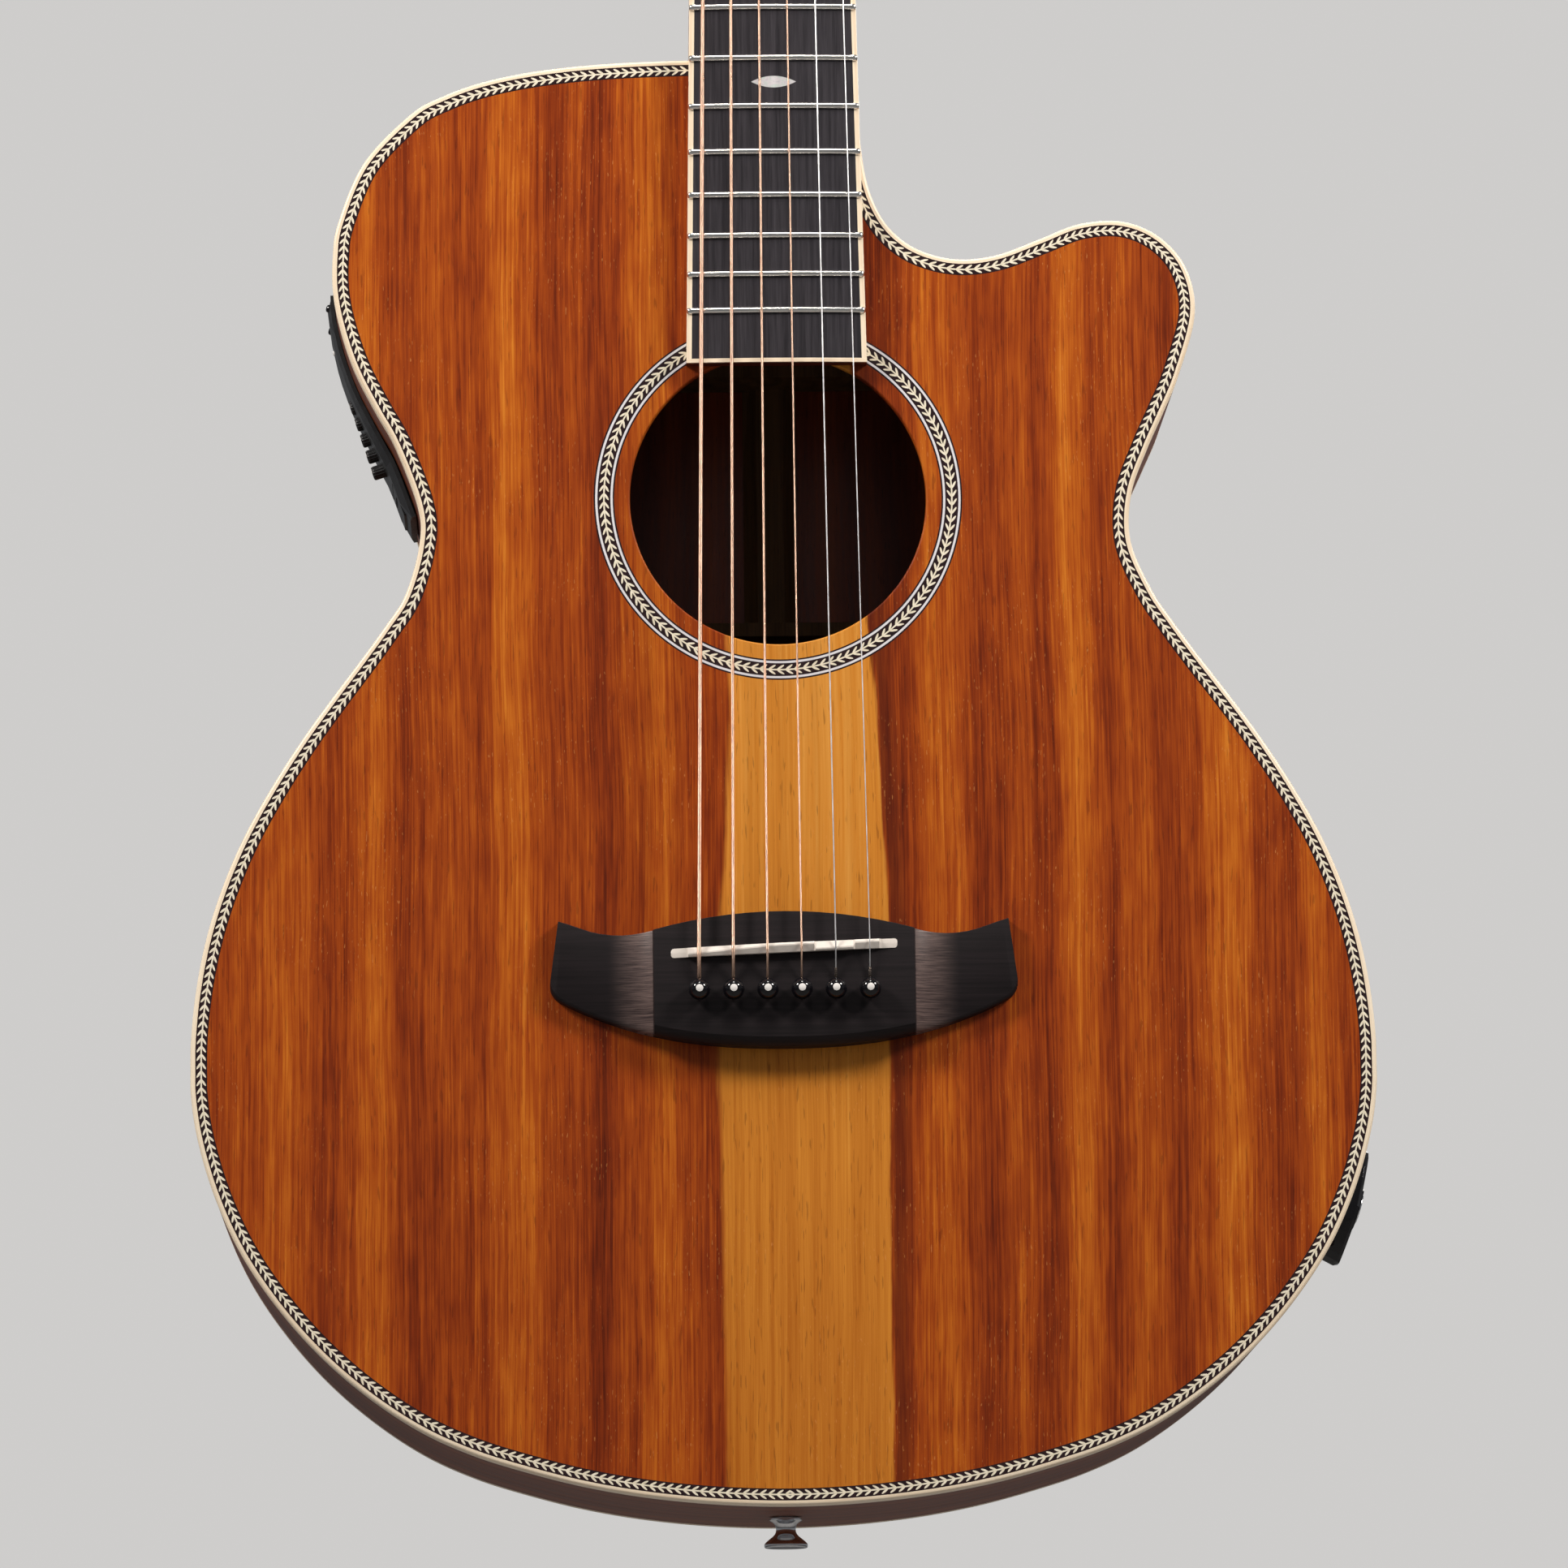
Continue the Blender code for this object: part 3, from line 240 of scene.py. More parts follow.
def wood_top():
    """Striped acacia with a honey sapwood band, under a thin satin lacquer."""
    shader = Shader("koa_top", 0.4, specular=0.16, coat=0.03, coat_roughness=0.3)
    place = shader.position()
    bent, fibre, broad, fine, hair = wood_fibres(shader, place, 4 * MM)
    _, y, z = shader.split(place)
    across = shader.range(bent, -0.19, 0.19, smooth=False)
    tone = shader.ramp(across, [((x + 190) / 380, (t, t, t)) for x, t in TOP_STRIPES], "EASE")
    tone = shader.math("MULTIPLY_ADD", shader.minus(tone, 0.45), 0.8, 0.45)
    mottle = shader.noise(fibre, (230, 230, 62), 2.0)
    dash = shader.noise(fibre, (1000, 1000, 30), 2.0, 0.6)
    for noise, amount in ((broad, 0.5), (fine, 0.6), (dash, 0.55), (mottle, 0.4), (hair, 0.7)):
        tone = shader.vary(tone, noise, amount)
    heart = shader.ramp(tone, [(0.0, srgb(92, 30, 9)), (0.25, srgb(130, 48, 12)), (0.5, srgb(162, 70, 16)),
                               (0.75, srgb(190, 98, 24)), (1.0, srgb(214, 128, 40))])
    ragged = shader.noise(fibre, (260, 260, 26), 3.0, 0.6)
    rag = shader.vary(bent, ragged, 4 * MM)
    bass_top = shader.range(z, TAIL_Z, TAIL_Z + 0.15, -18.3 * MM, -20.1 * MM)
    bass = shader.range(z, TAIL_Z + 0.15, TAIL_Z + 0.27, 0.0, 4.3 * MM)
    left = shader.plus(bass_top, bass)
    right = shader.range(z, TAIL_Z + 0.15, TAIL_Z + 0.4, 35.3 * MM, 27 * MM)
    from_left = shader.minus(rag, left)
    to_right = shader.minus(right, rag)
    inside = shader.times(shader.range(from_left, -1.2 * MM, 1.6 * MM),
                          shader.range(to_right, -0.4 * MM, 0.9 * MM))
    pale = 0.45
    for noise, amount in ((broad, 0.6), (fine, 0.7), (hair, 0.5)):
        pale = shader.vary(pale, noise, amount)
    # Painted shade: the honey band is darker towards the tail and paler towards the neck, as the light
    # falls off down the top.
    pale = shader.plus(pale, shader.range(z, TAIL_Z, TAIL_Z + 0.3, -0.22, 0.12))
    honey = shader.ramp(pale, [(0.0, srgb(172, 92, 22)), (0.5, srgb(212, 134, 46)),
                               (1.0, srgb(232, 166, 78))])
    outside = shader.minus(0.0, to_right)
    line = shader.times(shader.range(outside, 0.2 * MM, 1.2 * MM),
                        shader.range(outside, 2.5 * MM, 8 * MM, 1.0, 0.0))
    heart = shader.mix(shader.times(line, 0.6), heart, srgb(84, 28, 10))
    colour = shader.mix(inside, heart, honey)
    pores = shader.noise(fibre, (1500, 1500, 130), 1.0)
    pore = shader.range(pores, 0.64, 0.72)
    colour = shader.mix(shader.times(pore, 0.33), colour, srgb(70, 22, 8))
    flecks = shader.noise(shader.join(bent, y, shader.plus(z, 3.7)), (1900, 1900, 420), 1.0)
    patches = shader.noise(place, 22, 2.0)
    fleck = shader.times(shader.range(flecks, 0.68, 0.74), shader.range(patches, 0.45, 0.6))
    colour = shader.mix(shader.times(fleck, 0.38), colour, srgb(222, 150, 84))
    shader.bump(shader.minus(hair, shader.times(pore, 0.8)), 0.03 * MM, 0.4)
    return shader.done(colour, shader.range(fine, 0.2, 0.8, 0.36, 0.46))


def wood_back():
    """The bookmatched back: the same wood without its sapwood, joined on the centre line."""
    shader = Shader("koa_back", 0.38, specular=0.32, coat=0.1, coat_roughness=0.25)
    x, y, z = shader.split(shader.position())
    place = shader.join(shader.math("ABSOLUTE", x), y, z)
    fibre, broad, fine, hair = wood_fibres(shader, place, 9 * MM)[1:]
    figure = shader.noise(fibre, (42, 42, 1.6), 2.0)
    tone = shader.vary(0.42, figure, 1.3)
    tone = shader.vary(tone, broad, 0.8)
    tone = shader.vary(tone, fine, 0.55)
    colour = shader.ramp(tone, [(0.0, srgb(70, 26, 12)), (0.35, srgb(112, 44, 18)),
                                (0.65, srgb(150, 66, 26)), (1.0, srgb(184, 92, 38))])
    colour, pore = shader.pores(colour, fibre, 160, 0.5, srgb(50, 18, 9))
    shader.bump(shader.minus(hair, pore), 0.03 * MM, 0.5)
    return shader.done(colour, shader.range(fine, 0.2, 0.8, 0.34, 0.45))


def wood_side():
    """The bent sides, with the grain running along them."""
    shader = Shader("koa_sides", 0.42, specular=0.16, coat=0.03, coat_roughness=0.25)
    u, v, _ = shader.uv()
    place = shader.join(v, 0.0, u)
    fibre, broad, fine, hair = wood_fibres(shader, place, 6 * MM)[1:]
    tone = shader.vary(0.45, broad, 1.2)
    tone = shader.vary(tone, fine, 0.55)
    colour = shader.ramp(tone, [(0.0, srgb(66, 28, 15)), (0.4, srgb(104, 50, 26)),
                                (0.7, srgb(134, 72, 38)), (1.0, srgb(164, 96, 54))])
    colour, pore = shader.pores(colour, fibre, 160, 0.5, srgb(46, 20, 11))
    shader.bump(shader.minus(hair, pore), 0.03 * MM, 0.5)
    return shader.done(colour, shader.range(fine, 0.2, 0.8, 0.36, 0.47))


def plain_wood(name, dark, light, roughness, coarse=300, specular=0.35, across=False):
    """Straight-grained wood along Z, or across along X."""
    shader = Shader(name, roughness, specular=specular)
    x, y, z = shader.split(shader.position())
    place = shader.join(z, y, x) if across else shader.join(x, y, z)
    broad = shader.noise(place, (coarse, coarse, coarse / 50), 3.0, 0.55)
    fine = shader.noise(place, (coarse * 5, coarse * 5, coarse / 9), 2.0, 0.6)
    tone = shader.vary(broad, fine, 0.6)
    colour = shader.ramp(tone, [(0.25, dark), (0.75, light)])
    colour, pore = shader.pores(colour, place, 150, 0.4, tuple(c * 0.45 for c in dark))
    shader.bump(shader.minus(fine, pore), 0.03 * MM, 0.6)
    return shader.done(colour, shader.range(fine, 0.2, 0.8, roughness - 0.05, roughness + 0.08))


def maple_binding():
    """Pale lacquered maple whose grain follows the edge."""
    shader = Shader("maple_binding", 0.33, specular=0.4, coat=0.15, coat_roughness=0.2)
    u, v, _ = shader.uv()
    place = shader.join(v, 0.0, u)
    broad = shader.noise(place, (700, 700, 9), 3.0)
    fine = shader.noise(place, (3000, 3000, 90), 2.0)
    tone = shader.vary(broad, fine, 0.5)
    colour = shader.ramp(tone, [(0.2, srgb(232, 204, 172)), (0.5, srgb(246, 226, 198)),
                                (0.8, srgb(252, 238, 216))])
    shader.bump(fine, 0.02 * MM, 0.4)
    return shader.done(colour)


def leaf_pattern(shader, along, across, pitch, reach):
    """A mask of paired leaves that droop from a stem; across is measured from the stem."""
    out = shader.math("ABSOLUTE", across)
    slant = shader.math("MULTIPLY_ADD", out, 1.25, along)
    step = shader.math("DIVIDE", slant, pitch)
    local = shader.minus(shader.math("FRACT", step), 0.5)
    middle = reach * 0.53
    off = shader.math("DIVIDE", shader.minus(out, middle), middle)
    off = shader.times(off, off)
    wide = shader.math("DIVIDE", local, 0.22)
    wide = shader.times(wide, wide)
    leaf = shader.range(shader.plus(off, wide), 0.82, 1.12, 1.0, 0.0)
    stem = shader.range(out, 0.2 * MM, 0.3 * MM, 1.0, 0.0)
    return shader.math("MAXIMUM", leaf, stem)


def leaf_inlay(name, bands, pitch, reach):
    """A black strip with a leaf border and pale bands, (from, to) across it in metres."""
    shader = Shader(name, 0.34, specular=0.35, coat=0.15, coat_roughness=0.2)
    u, v, _ = shader.uv()
    leaf = leaf_pattern(shader, u, v, pitch, reach)
    tint = shader.noise(shader.join(u, v, 0.0), (420, 900, 1), 2.0)
    pale = shader.ramp(tint, [(0.3, srgb(226, 214, 188)), (0.7, srgb(250, 240, 218))])
    dark = shader.ramp(tint, [(0.3, srgb(26, 12, 15)), (0.7, srgb(46, 24, 28))])
    colour = shader.mix(leaf, dark, pale)
    for low, high in bands:
        line = shader.times(shader.range(v, low - 0.04 * MM, low + 0.04 * MM),
                            shader.range(v, high - 0.04 * MM, high + 0.04 * MM, 1.0, 0.0))
        colour = shader.mix(line, colour, srgb(226, 223, 226))
    shader.bump(tint, 0.01 * MM, 0.4)
    return shader.done(colour)


def speckled(name, colour, roughness, metallic=0.0, specular=0.5, grain=1800, depth=0.015, spread=0.08,
             shade=0.12, coat=0.0):
    """A moulded or polished surface with faint unevenness in tone, gloss and height."""
    shader = Shader(name, roughness, metallic, specular, coat, 0.08)
    place = shader.position()
    fine = shader.noise(place, grain, 3.0, 0.6)
    broad = shader.noise(place, grain / 14, 2.0)
    tone = shader.math("MULTIPLY_ADD", broad, 0.5, shader.times(fine, 0.5))
    low = tuple(c * (1 - shade) for c in colour)
    high = tuple(min(1.0, c * (1 + shade)) for c in colour)
    tint = shader.ramp(tone, [(0.3, low), (0.7, high)])
    shader.bump(fine, depth * MM, 0.5)
    return shader.done(tint, shader.range(broad, 0.25, 0.75, roughness, roughness + spread))


def ebony():
    """Near-black wood of the fingerboard and bridge, with faint brown grain."""
    shader = Shader("ebony", 0.46, specular=0.32)
    place = shader.position()
    fine = shader.noise(place, (900, 900, 22), 3.0, 0.6)
    hair = shader.noise(place, (3200, 3200, 120), 2.0)
    tone = shader.vary(fine, hair, 0.5)
    colour = shader.ramp(tone, [(0.25, srgb(34, 31, 35)), (0.75, srgb(60, 56, 61))])
    shader.bump(tone, 0.03 * MM, 0.5)
    return shader.done(colour, shader.range(fine, 0.2, 0.8, 0.4, 0.5))


def bridge_wood():
    """Ebony with a lighter patch in each scoop beside the middle block: partly brushed wood, partly a
    painted sheen where the scoops catch the lights.
    """
    shader = Shader("bridge_ebony", 0.5, specular=0.2)
    place = shader.position()
    x, y, z = shader.split(place)
    grain = shader.join(z, y, x)
    fine = shader.noise(grain, (900, 900, 22), 3.0, 0.6)
    brushed = shader.noise(place, (130, 130, 3600), 3.0, 0.65)
    colour = shader.ramp(fine, [(0.25, srgb(17, 13, 14)), (0.75, srgb(34, 27, 29))])
    out = shader.math("ABSOLUTE", x)
    scoop = shader.times(shader.range(out, 0.0421, 0.0426),
                         shader.range(out, 0.0432, 0.0575, 1.0, 0.0))
    # The scoops' lighter colour is partly brushed wood and partly a painted sheen from the side lights.
    sanded_and_sheen = shader.ramp(brushed, [(0.3, srgb(58, 47, 48)), (0.7, srgb(138, 116, 110))])
    colour = shader.mix(shader.times(scoop, 0.85), colour, sanded_and_sheen)
    shader.bump(shader.math("MULTIPLY_ADD", brushed, scoop, fine), 0.03 * MM, 0.5)
    return shader.done(colour, shader.range(scoop, 0, 1, 0.5, 0.38))


def wound(name, dark, light, pitch):
    """Round-wound bronze: the wire's turns show along the string, with a painted highlight on each turn's
    crest and painted shade in its grooves.
    """
    shader = Shader(name, 0.3, 1.0)
    u, v, _ = shader.uv()
    turn = shader.times(shader.math("MULTIPLY_ADD", v, pitch, u), math.tau / pitch)
    wave = shader.math("MULTIPLY_ADD", shader.math("SINE", turn), 0.5, 0.5)
    worn = shader.noise(shader.join(u, v, 0.0), (90, 3, 1), 3.0)
    tone = shader.math("MULTIPLY_ADD", worn, 0.5, shader.times(wave, 0.5))
    # Colour runs from the painted shade in each groove to the painted highlight on each crest.
    colour = shader.ramp(tone, [(0.15, dark), (0.7, light)])
    shader.bump(wave, pitch * 0.22, 0.7)
    return shader.done(colour, shader.range(worn, 0.2, 0.8, 0.26, 0.38))


def pearl():
    """Mother of pearl: soft layered bands of grey, rose and green."""
    shader = Shader("pearl", 0.18, 0.15, coat=0.3, coat_roughness=0.1)
    place = shader.position()
    layers = shader.noise(place, (260, 260, 420), 3.0, 0.6, 2.5)
    colour = shader.ramp(layers, [(0.25, srgb(196, 200, 206)), (0.45, srgb(232, 224, 226)),
                                  (0.6, srgb(206, 218, 212)), (0.8, srgb(240, 236, 232))])
    shader.bump(layers, 0.02 * MM, 0.4)
    return shader.done(colour)


MATERIALS = {
    "koa_top": wood_top(),
    "koa_back": wood_back(),
    "koa_side": wood_side(),
    "binding": maple_binding(),
    "purfling": leaf_inlay("leaf_purfling", [], 2.75 * MM, 1.42 * MM),
    "rosette": leaf_inlay("leaf_rosette", [(-2.85 * MM, -2.12 * MM), (2.12 * MM, 2.85 * MM)],
                          2.82 * MM, 1.5 * MM),
    # Spruce painted dark as shade, so the inside looks black through the hole; raw spruce is paler.
    "spruce": plain_wood("spruce_painted_dark", srgb(84, 58, 32), srgb(122, 90, 56), 0.7, 240),
    "mahogany": plain_wood("mahogany_neck", srgb(74, 30, 16), srgb(126, 60, 32), 0.42, 150),
    "brown_edge": plain_wood("brown_edge", srgb(70, 24, 12), srgb(104, 40, 20), 0.45, across=True),
    "ebony": ebony(),
    "head_ebony": plain_wood("head_ebony", srgb(26, 22, 25), srgb(50, 45, 49), 0.62, 260, specular=0.08),
    "bridge": bridge_wood(),
    "bone": speckled("bone", srgb(232, 222, 212), 0.34, specular=0.45, grain=900, shade=0.05, coat=0.1),
    "steel": speckled("steel", (0.45, 0.45, 0.46), 0.34, 1.0, grain=2400),
    "brass": speckled("pickup_brass", (0.6, 0.42, 0.2), 0.36, 1.0, grain=2400),
    "gloss_black": speckled("black_gloss", (0.005, 0.0045, 0.006), 0.05, grain=700, depth=0.001,
                            spread=0.02, specular=0.4),
    "matt_black": speckled("black_moulded", (0.012, 0.0115, 0.0125), 0.34, grain=5200, depth=0.02,
                           specular=0.35),
    "chrome": speckled("chrome", (0.74, 0.74, 0.76), 0.08, 1.0, grain=420, depth=0.003, shade=0.04),
    "fret": speckled("nickel_fret", (0.94, 0.91, 0.86), 0.16, 1.0, grain=2400, depth=0.004, shade=0.05),
    "bronze_string": wound("bronze_wound", srgb(196, 140, 112), srgb(250, 218, 194), 0.3 * MM),
    "string_wrap": wound("string_wrap", srgb(70, 62, 60), srgb(168, 152, 140), 0.42 * MM),
    "plain_string": speckled("plain_steel", (0.95, 0.95, 0.97), 0.34, 1.0, grain=3000, depth=0.004),
    "white_dot": speckled("white_dot", srgb(238, 234, 230), 0.3, grain=2000, shade=0.04),
    "pearl": pearl(),
}


# Mesh helpers


def link(name, data):
    """A new object in the scene."""
    made = bpy.data.objects.new(name, data)
    bpy.context.scene.collection.objects.link(made)
    return made


def add(name, points, faces, material, stands_for=(), body="guitar", angle=32, uvs=None):
    """A closed piece of those points and faces, riding on a body, with its material's slot."""
    mesh = bpy.data.meshes.new(name)
    mesh.from_pydata([tuple(p) for p in points], [], [tuple(f) for f in faces])
    if uvs is not None:
        layer = mesh.uv_layers.new(name="UVMap")
        layer.data.foreach_set("uv", np.array(uvs, float).reshape(-1))
    bm = bmesh.new()
    bm.from_mesh(mesh)
    bmesh.ops.recalc_face_normals(bm, faces=bm.faces)
    bm.to_mesh(mesh)
    bm.free()
    mesh.materials.append(MATERIALS[material])
    mesh.polygons.foreach_set("use_smooth", [angle > 0] * len(mesh.polygons))
    mesh.set_sharp_from_angle(angle=math.radians(angle))
    piece = link(name, mesh)
    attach(piece, body)
    if stands_for:
        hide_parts(*stands_for)
    return piece


def skin(sections, loop=False):
    """Points and quads of a closed skin over sections of equal length, with caps unless it loops."""
    sections = np.array(sections, float)
    count, size = sections.shape[:2]
    faces = []
    for i in range(count if loop else count - 1):
        low, high = i * size, (i + 1) % count * size
        for j in range(size):
            k = (j + 1) % size
            faces.append((low + j, low + k, high + k, high + j))
    if not loop:
        faces.append(tuple(range(size))[::-1])
        faces.append(tuple(range((count - 1) * size, count * size)))
    return sections.reshape(-1, 3), faces


def strip_uvs(spans, rails):
    """UVs for skin(): (start, end) along for each step, and the distance round the profile."""
    uvs = []
    for start, end in spans:
        for low, high in zip(rails, rails[1:]):
            uvs += [(start, low), (start, high), (end, high), (end, low)]
    return uvs


def loft(name, sections, material, along=None, around=None, **kwargs):
    """A capped piece over sections of equal length, with distances along and around it as UVs."""
    points, faces = skin(sections)
    uvs = None
    if along is not None:
        uvs = strip_uvs(zip(along, along[1:]), around) + [(0.0, 0.0)] * (2 * len(sections[0]))
    return add(name, points, faces, material, uvs=uvs, **kwargs)


def lathe(name, profile, steps, material, matrix, waist=None, **kwargs):
    """A profile of (radius, height) in millimetres turned about its matrix's Z axis."""
    points, faces, rings = [], [], []
    for row, (radius, height) in enumerate(profile):
        if radius == 0:
            rings.append([len(points)] * steps)
            points.append(matrix @ Vector((0, 0, height * MM)))
            continue
        rings.append([len(points) + i for i in range(steps)])
        for i in range(steps):
            angle = math.tau * i / steps
            wide = radius * MM * (waist(row, i) if waist else 1.0)
            points.append(matrix @ Vector((wide * math.cos(angle), wide * math.sin(angle), height * MM)))
    for low, high in zip(rings, rings[1:] + ([] if profile[0][0] == 0 else rings[:1])):
        for i in range(steps):
            j = (i + 1) % steps
            face = list(dict.fromkeys((low[i], low[j], high[j], high[i])))
            if len(face) > 2:
                faces.append(face)
    return add(name, points, faces, material, **kwargs)


def tube(name, route, radius, sides, material, **kwargs):
    """A round tube along a route, with its length in U and its turn in V."""
    route = [Vector(p) for p in route]
    turns = [math.tau * s / sides for s in range(sides)]
    sections, lengths = [], [0.0]
    normal = Vector((1, 0, 0))
    for index, point in enumerate(route):
        ahead = (route[min(index + 1, len(route) - 1)] - route[max(index - 1, 0)]).normalized()
        normal = (normal - ahead * normal.dot(ahead)).normalized()
        other = ahead.cross(normal)
        sections.append([point + (normal * math.cos(a) + other * math.sin(a)) * radius for a in turns])
        if index:
            lengths.append(lengths[-1] + (point - route[index - 1]).length)
    around = [s / sides for s in range(sides + 1)]
    return loft(name, sections, material, lengths, around, angle=60, **kwargs)


def pillow(name, size, depths, corner, edge, matrix, material, **kwargs):
    """A block in millimetres with rounded corners and front edge, its depth along Z."""
    half_x, half_y = size
    back, front = depths
    arc = np.linspace(0, QUARTER, 6)
    levels = [(edge * (1 - math.cos(a)), front - edge * (1 - math.sin(a))) for a in arc]
    sections = []
    for shrink, level in [(0.0, back)] + levels:
        ring = []
        radius = max(corner - shrink, 0.05)
        for quarter, (sx, sy) in enumerate([(1, 1), (-1, 1), (-1, -1), (1, -1)]):
            for a in np.linspace(0, QUARTER, 7) + quarter * QUARTER:
                x = sx * (half_x - shrink - radius) + radius * math.cos(a)
                y = sy * (half_y - shrink - radius) + radius * math.sin(a)
                ring.append(matrix @ Vector((x * MM, y * MM, level * MM)))
        sections.append(ring)
    return loft(name, sections, material, **kwargs)


def screw(name, matrix, radius, material="chrome"):
    """A domed screw with a recess in its head."""
    profile = [(0, 0.1), (0.42, 0.1), (0.46, 0.55), (0.8, 0.42), (1, 0.12), (1, -0.6), (0, -0.6)]
    lathe(name, [(r * radius, h * radius) for r, h in profile], 20, material, matrix)


def shift(x, y, z):
    """A move in millimetres."""
    return Matrix.Translation((x * MM, y * MM, z * MM))


def cubic(a, b, c, d, t):
    """The smooth curve between b and c, a share t of the way (Catmull-Rom)."""
    bend, twist = 2 * a - 5 * b + 4 * c - d, 3 * b - a - 3 * c + d
    return (2 * b + (c - a) * t + bend * t ** 2 + twist * t ** 3) / 2


def curve_through(rows, steps):
    """Rows of numbers drawn smooth between the given ones."""
    rows = [np.array(row, float) for row in rows]
    rows = [2 * rows[0] - rows[1]] + rows + [2 * rows[-1] - rows[-2]]
    fine = [cubic(a, b, c, d, t) for a, b, c, d in zip(rows, rows[1:], rows[2:], rows[3:])
            for t in np.arange(steps) / steps]
    return fine + [rows[-2]]


# The outline, read from the front of the top binding and drawn smooth


def front_loop(node):
    """The widest edge loop on a node's front face, as (x, z)."""
    bm = bmesh.new()
    bm.from_mesh(NODES[node].data)
    bmesh.ops.remove_doubles(bm, verts=bm.verts, dist=1e-6)
    front = min(v.co.y for v in bm.verts)
    flat = {f for f in bm.faces if max(v.co.y for v in f.verts) < front + 1e-5}
    around = {}
    for edge in bm.edges:
        if sum(f in flat for f in edge.link_faces) == 1:
            for v in edge.verts:
                around.setdefault(v, []).append(edge.other_vert(v))
    loops = []
    while around:
        loop = [next(iter(around))]
        while True:
            following = [v for v in around.pop(loop[-1]) if v in around]
            if not following:
                break
            loop.append(following[0])
        loops.append([(v.co.x, v.co.z) for v in loop])
    bm.free()
    return max(loops, key=lambda loop: np.ptp(np.array(loop)[:, 0]))


def smooth_outline():
    """Fine points from the tail up the bass side and round, and the index of the corner."""
    loop = np.array(front_loop("top_binding"))
    start = int(np.argmin(np.abs(loop[:, 0]) + 10 * np.abs(loop[:, 1] - TAIL_Z)))
    loop = np.roll(loop, -start, axis=0)
    if loop[1, 0] > 0:
        loop = np.roll(loop[::-1], 1, axis=0)
    before, after = loop - np.roll(loop, 1, axis=0), np.roll(loop, -1, axis=0) - loop
    cross = before[:, 0] * after[:, 1] - before[:, 1] * after[:, 0]
    corner = int(np.argmax(np.abs(np.arctan2(cross, (before * after).sum(1)))))
    fine, fine_corner = [], 0
    count = len(loop)
    for i in range(count):
        a, b, c, d = loop[i - 1], loop[i], loop[(i + 1) % count], loop[(i + 2) % count]
        if i == corner:
            a = 2 * b - c
            fine_corner = len(fine)
        if (i + 1) % count == corner:
            d = 2 * c - b
        steps = max(1, round(float(np.linalg.norm(c - b)) / OUTLINE_STEP))
        fine += [cubic(a, b, c, d, t) for t in np.arange(steps) / steps]
    return np.clip(np.array(fine), loop.min(0), loop.max(0)), fine_corner


OUTLINE, CORNER = smooth_outline()


def mitres():
    """The inward direction at each point of the outline, long enough to keep an inset's width."""
    before = OUTLINE - np.roll(OUTLINE, 1, axis=0)
    after = np.roll(OUTLINE, -1, axis=0) - OUTLINE
    first, second = [np.stack([step[:, 1], -step[:, 0]], 1) / np.linalg.norm(step, axis=1)[:, None]
                     for step in (before, after)]
    middle = first + second
    middle /= np.linalg.norm(middle, axis=1)[:, None]
    return middle / (middle * first).sum(1)[:, None]


MITRES = mitres()


def inset(distance):
    """The outline moved inward."""
    return OUTLINE + MITRES * distance


def spans():
    """For each step round the outline, its start and end measured from the tail up its own side."""
    lengths = np.linalg.norm(np.roll(OUTLINE, -1, axis=0) - OUTLINE, axis=1)
    ends = np.concatenate([[0], np.cumsum(lengths)])
    total = ends[-1]
    return [(ends[i], ends[i + 1]) if i < CORNER else (total - ends[i], total - ends[i + 1])
            for i in range(len(OUTLINE))]


def back_line():
    """Depth of the back binding's rear edge at the tail and at the neck."""
    points = np.array([v.co for v in NODES["back_binding"].data.vertices])
    tail = points[points[:, 2] < TAIL_Z + 0.5 * MM]
    neck = points[points[:, 2] > TAIL_Z + BODY_LENGTH - 0.5 * MM]
    return tail[:, 1].max(), neck[:, 1].max()


BACK_LINE = back_line()


def at_depth(flat, depth):
    """Points of the outline's plane at a depth into the body."""
    return np.stack([flat[:, 0], np.full(len(flat), depth), flat[:, 1]], 1)


def from_back(flat, distance):
    """Points of the outline's plane at a distance before the back's sloping edge."""
    low, high = BACK_LINE
    depths = low + (high - low) * (flat[:, 1] - TAIL_Z) / BODY_LENGTH
    return np.stack([flat[:, 0], depths - distance, flat[:, 1]], 1)


def rim(name, rails, material, distances, **kwargs):
    """A closed strip round the outline, through one rail for each corner of its profile."""
    points, faces = skin(np.stack(rails, 1), loop=True)
    return add(name, points, faces, material, uvs=strip_uvs(spans(), distances), **kwargs)


def cut_box(piece, low, high):
    """Cut the block between two corners away from a piece."""
    bm = bmesh.new()
    bmesh.ops.create_cube(bm, size=1)
    for vert in bm.verts:
        vert.co = [a if part < 0 else b for part, a, b in zip(vert.co, low, high)]
    mesh = bpy.data.meshes.new("cutter")
    bm.to_mesh(mesh)
    bm.free()
    cutter = link("cutter", mesh)
    modifier = piece.modifiers.new("cut", "BOOLEAN")
    modifier.operation = "DIFFERENCE"
    modifier.solver = "EXACT"
    modifier.object = cutter
    depsgraph = bpy.context.evaluated_depsgraph_get()
    piece.data = bpy.data.meshes.new_from_object(piece.evaluated_get(depsgraph), depsgraph=depsgraph,
                                                 preserve_all_data_layers=True)
    piece.modifiers.clear()
    bpy.data.objects.remove(cutter)


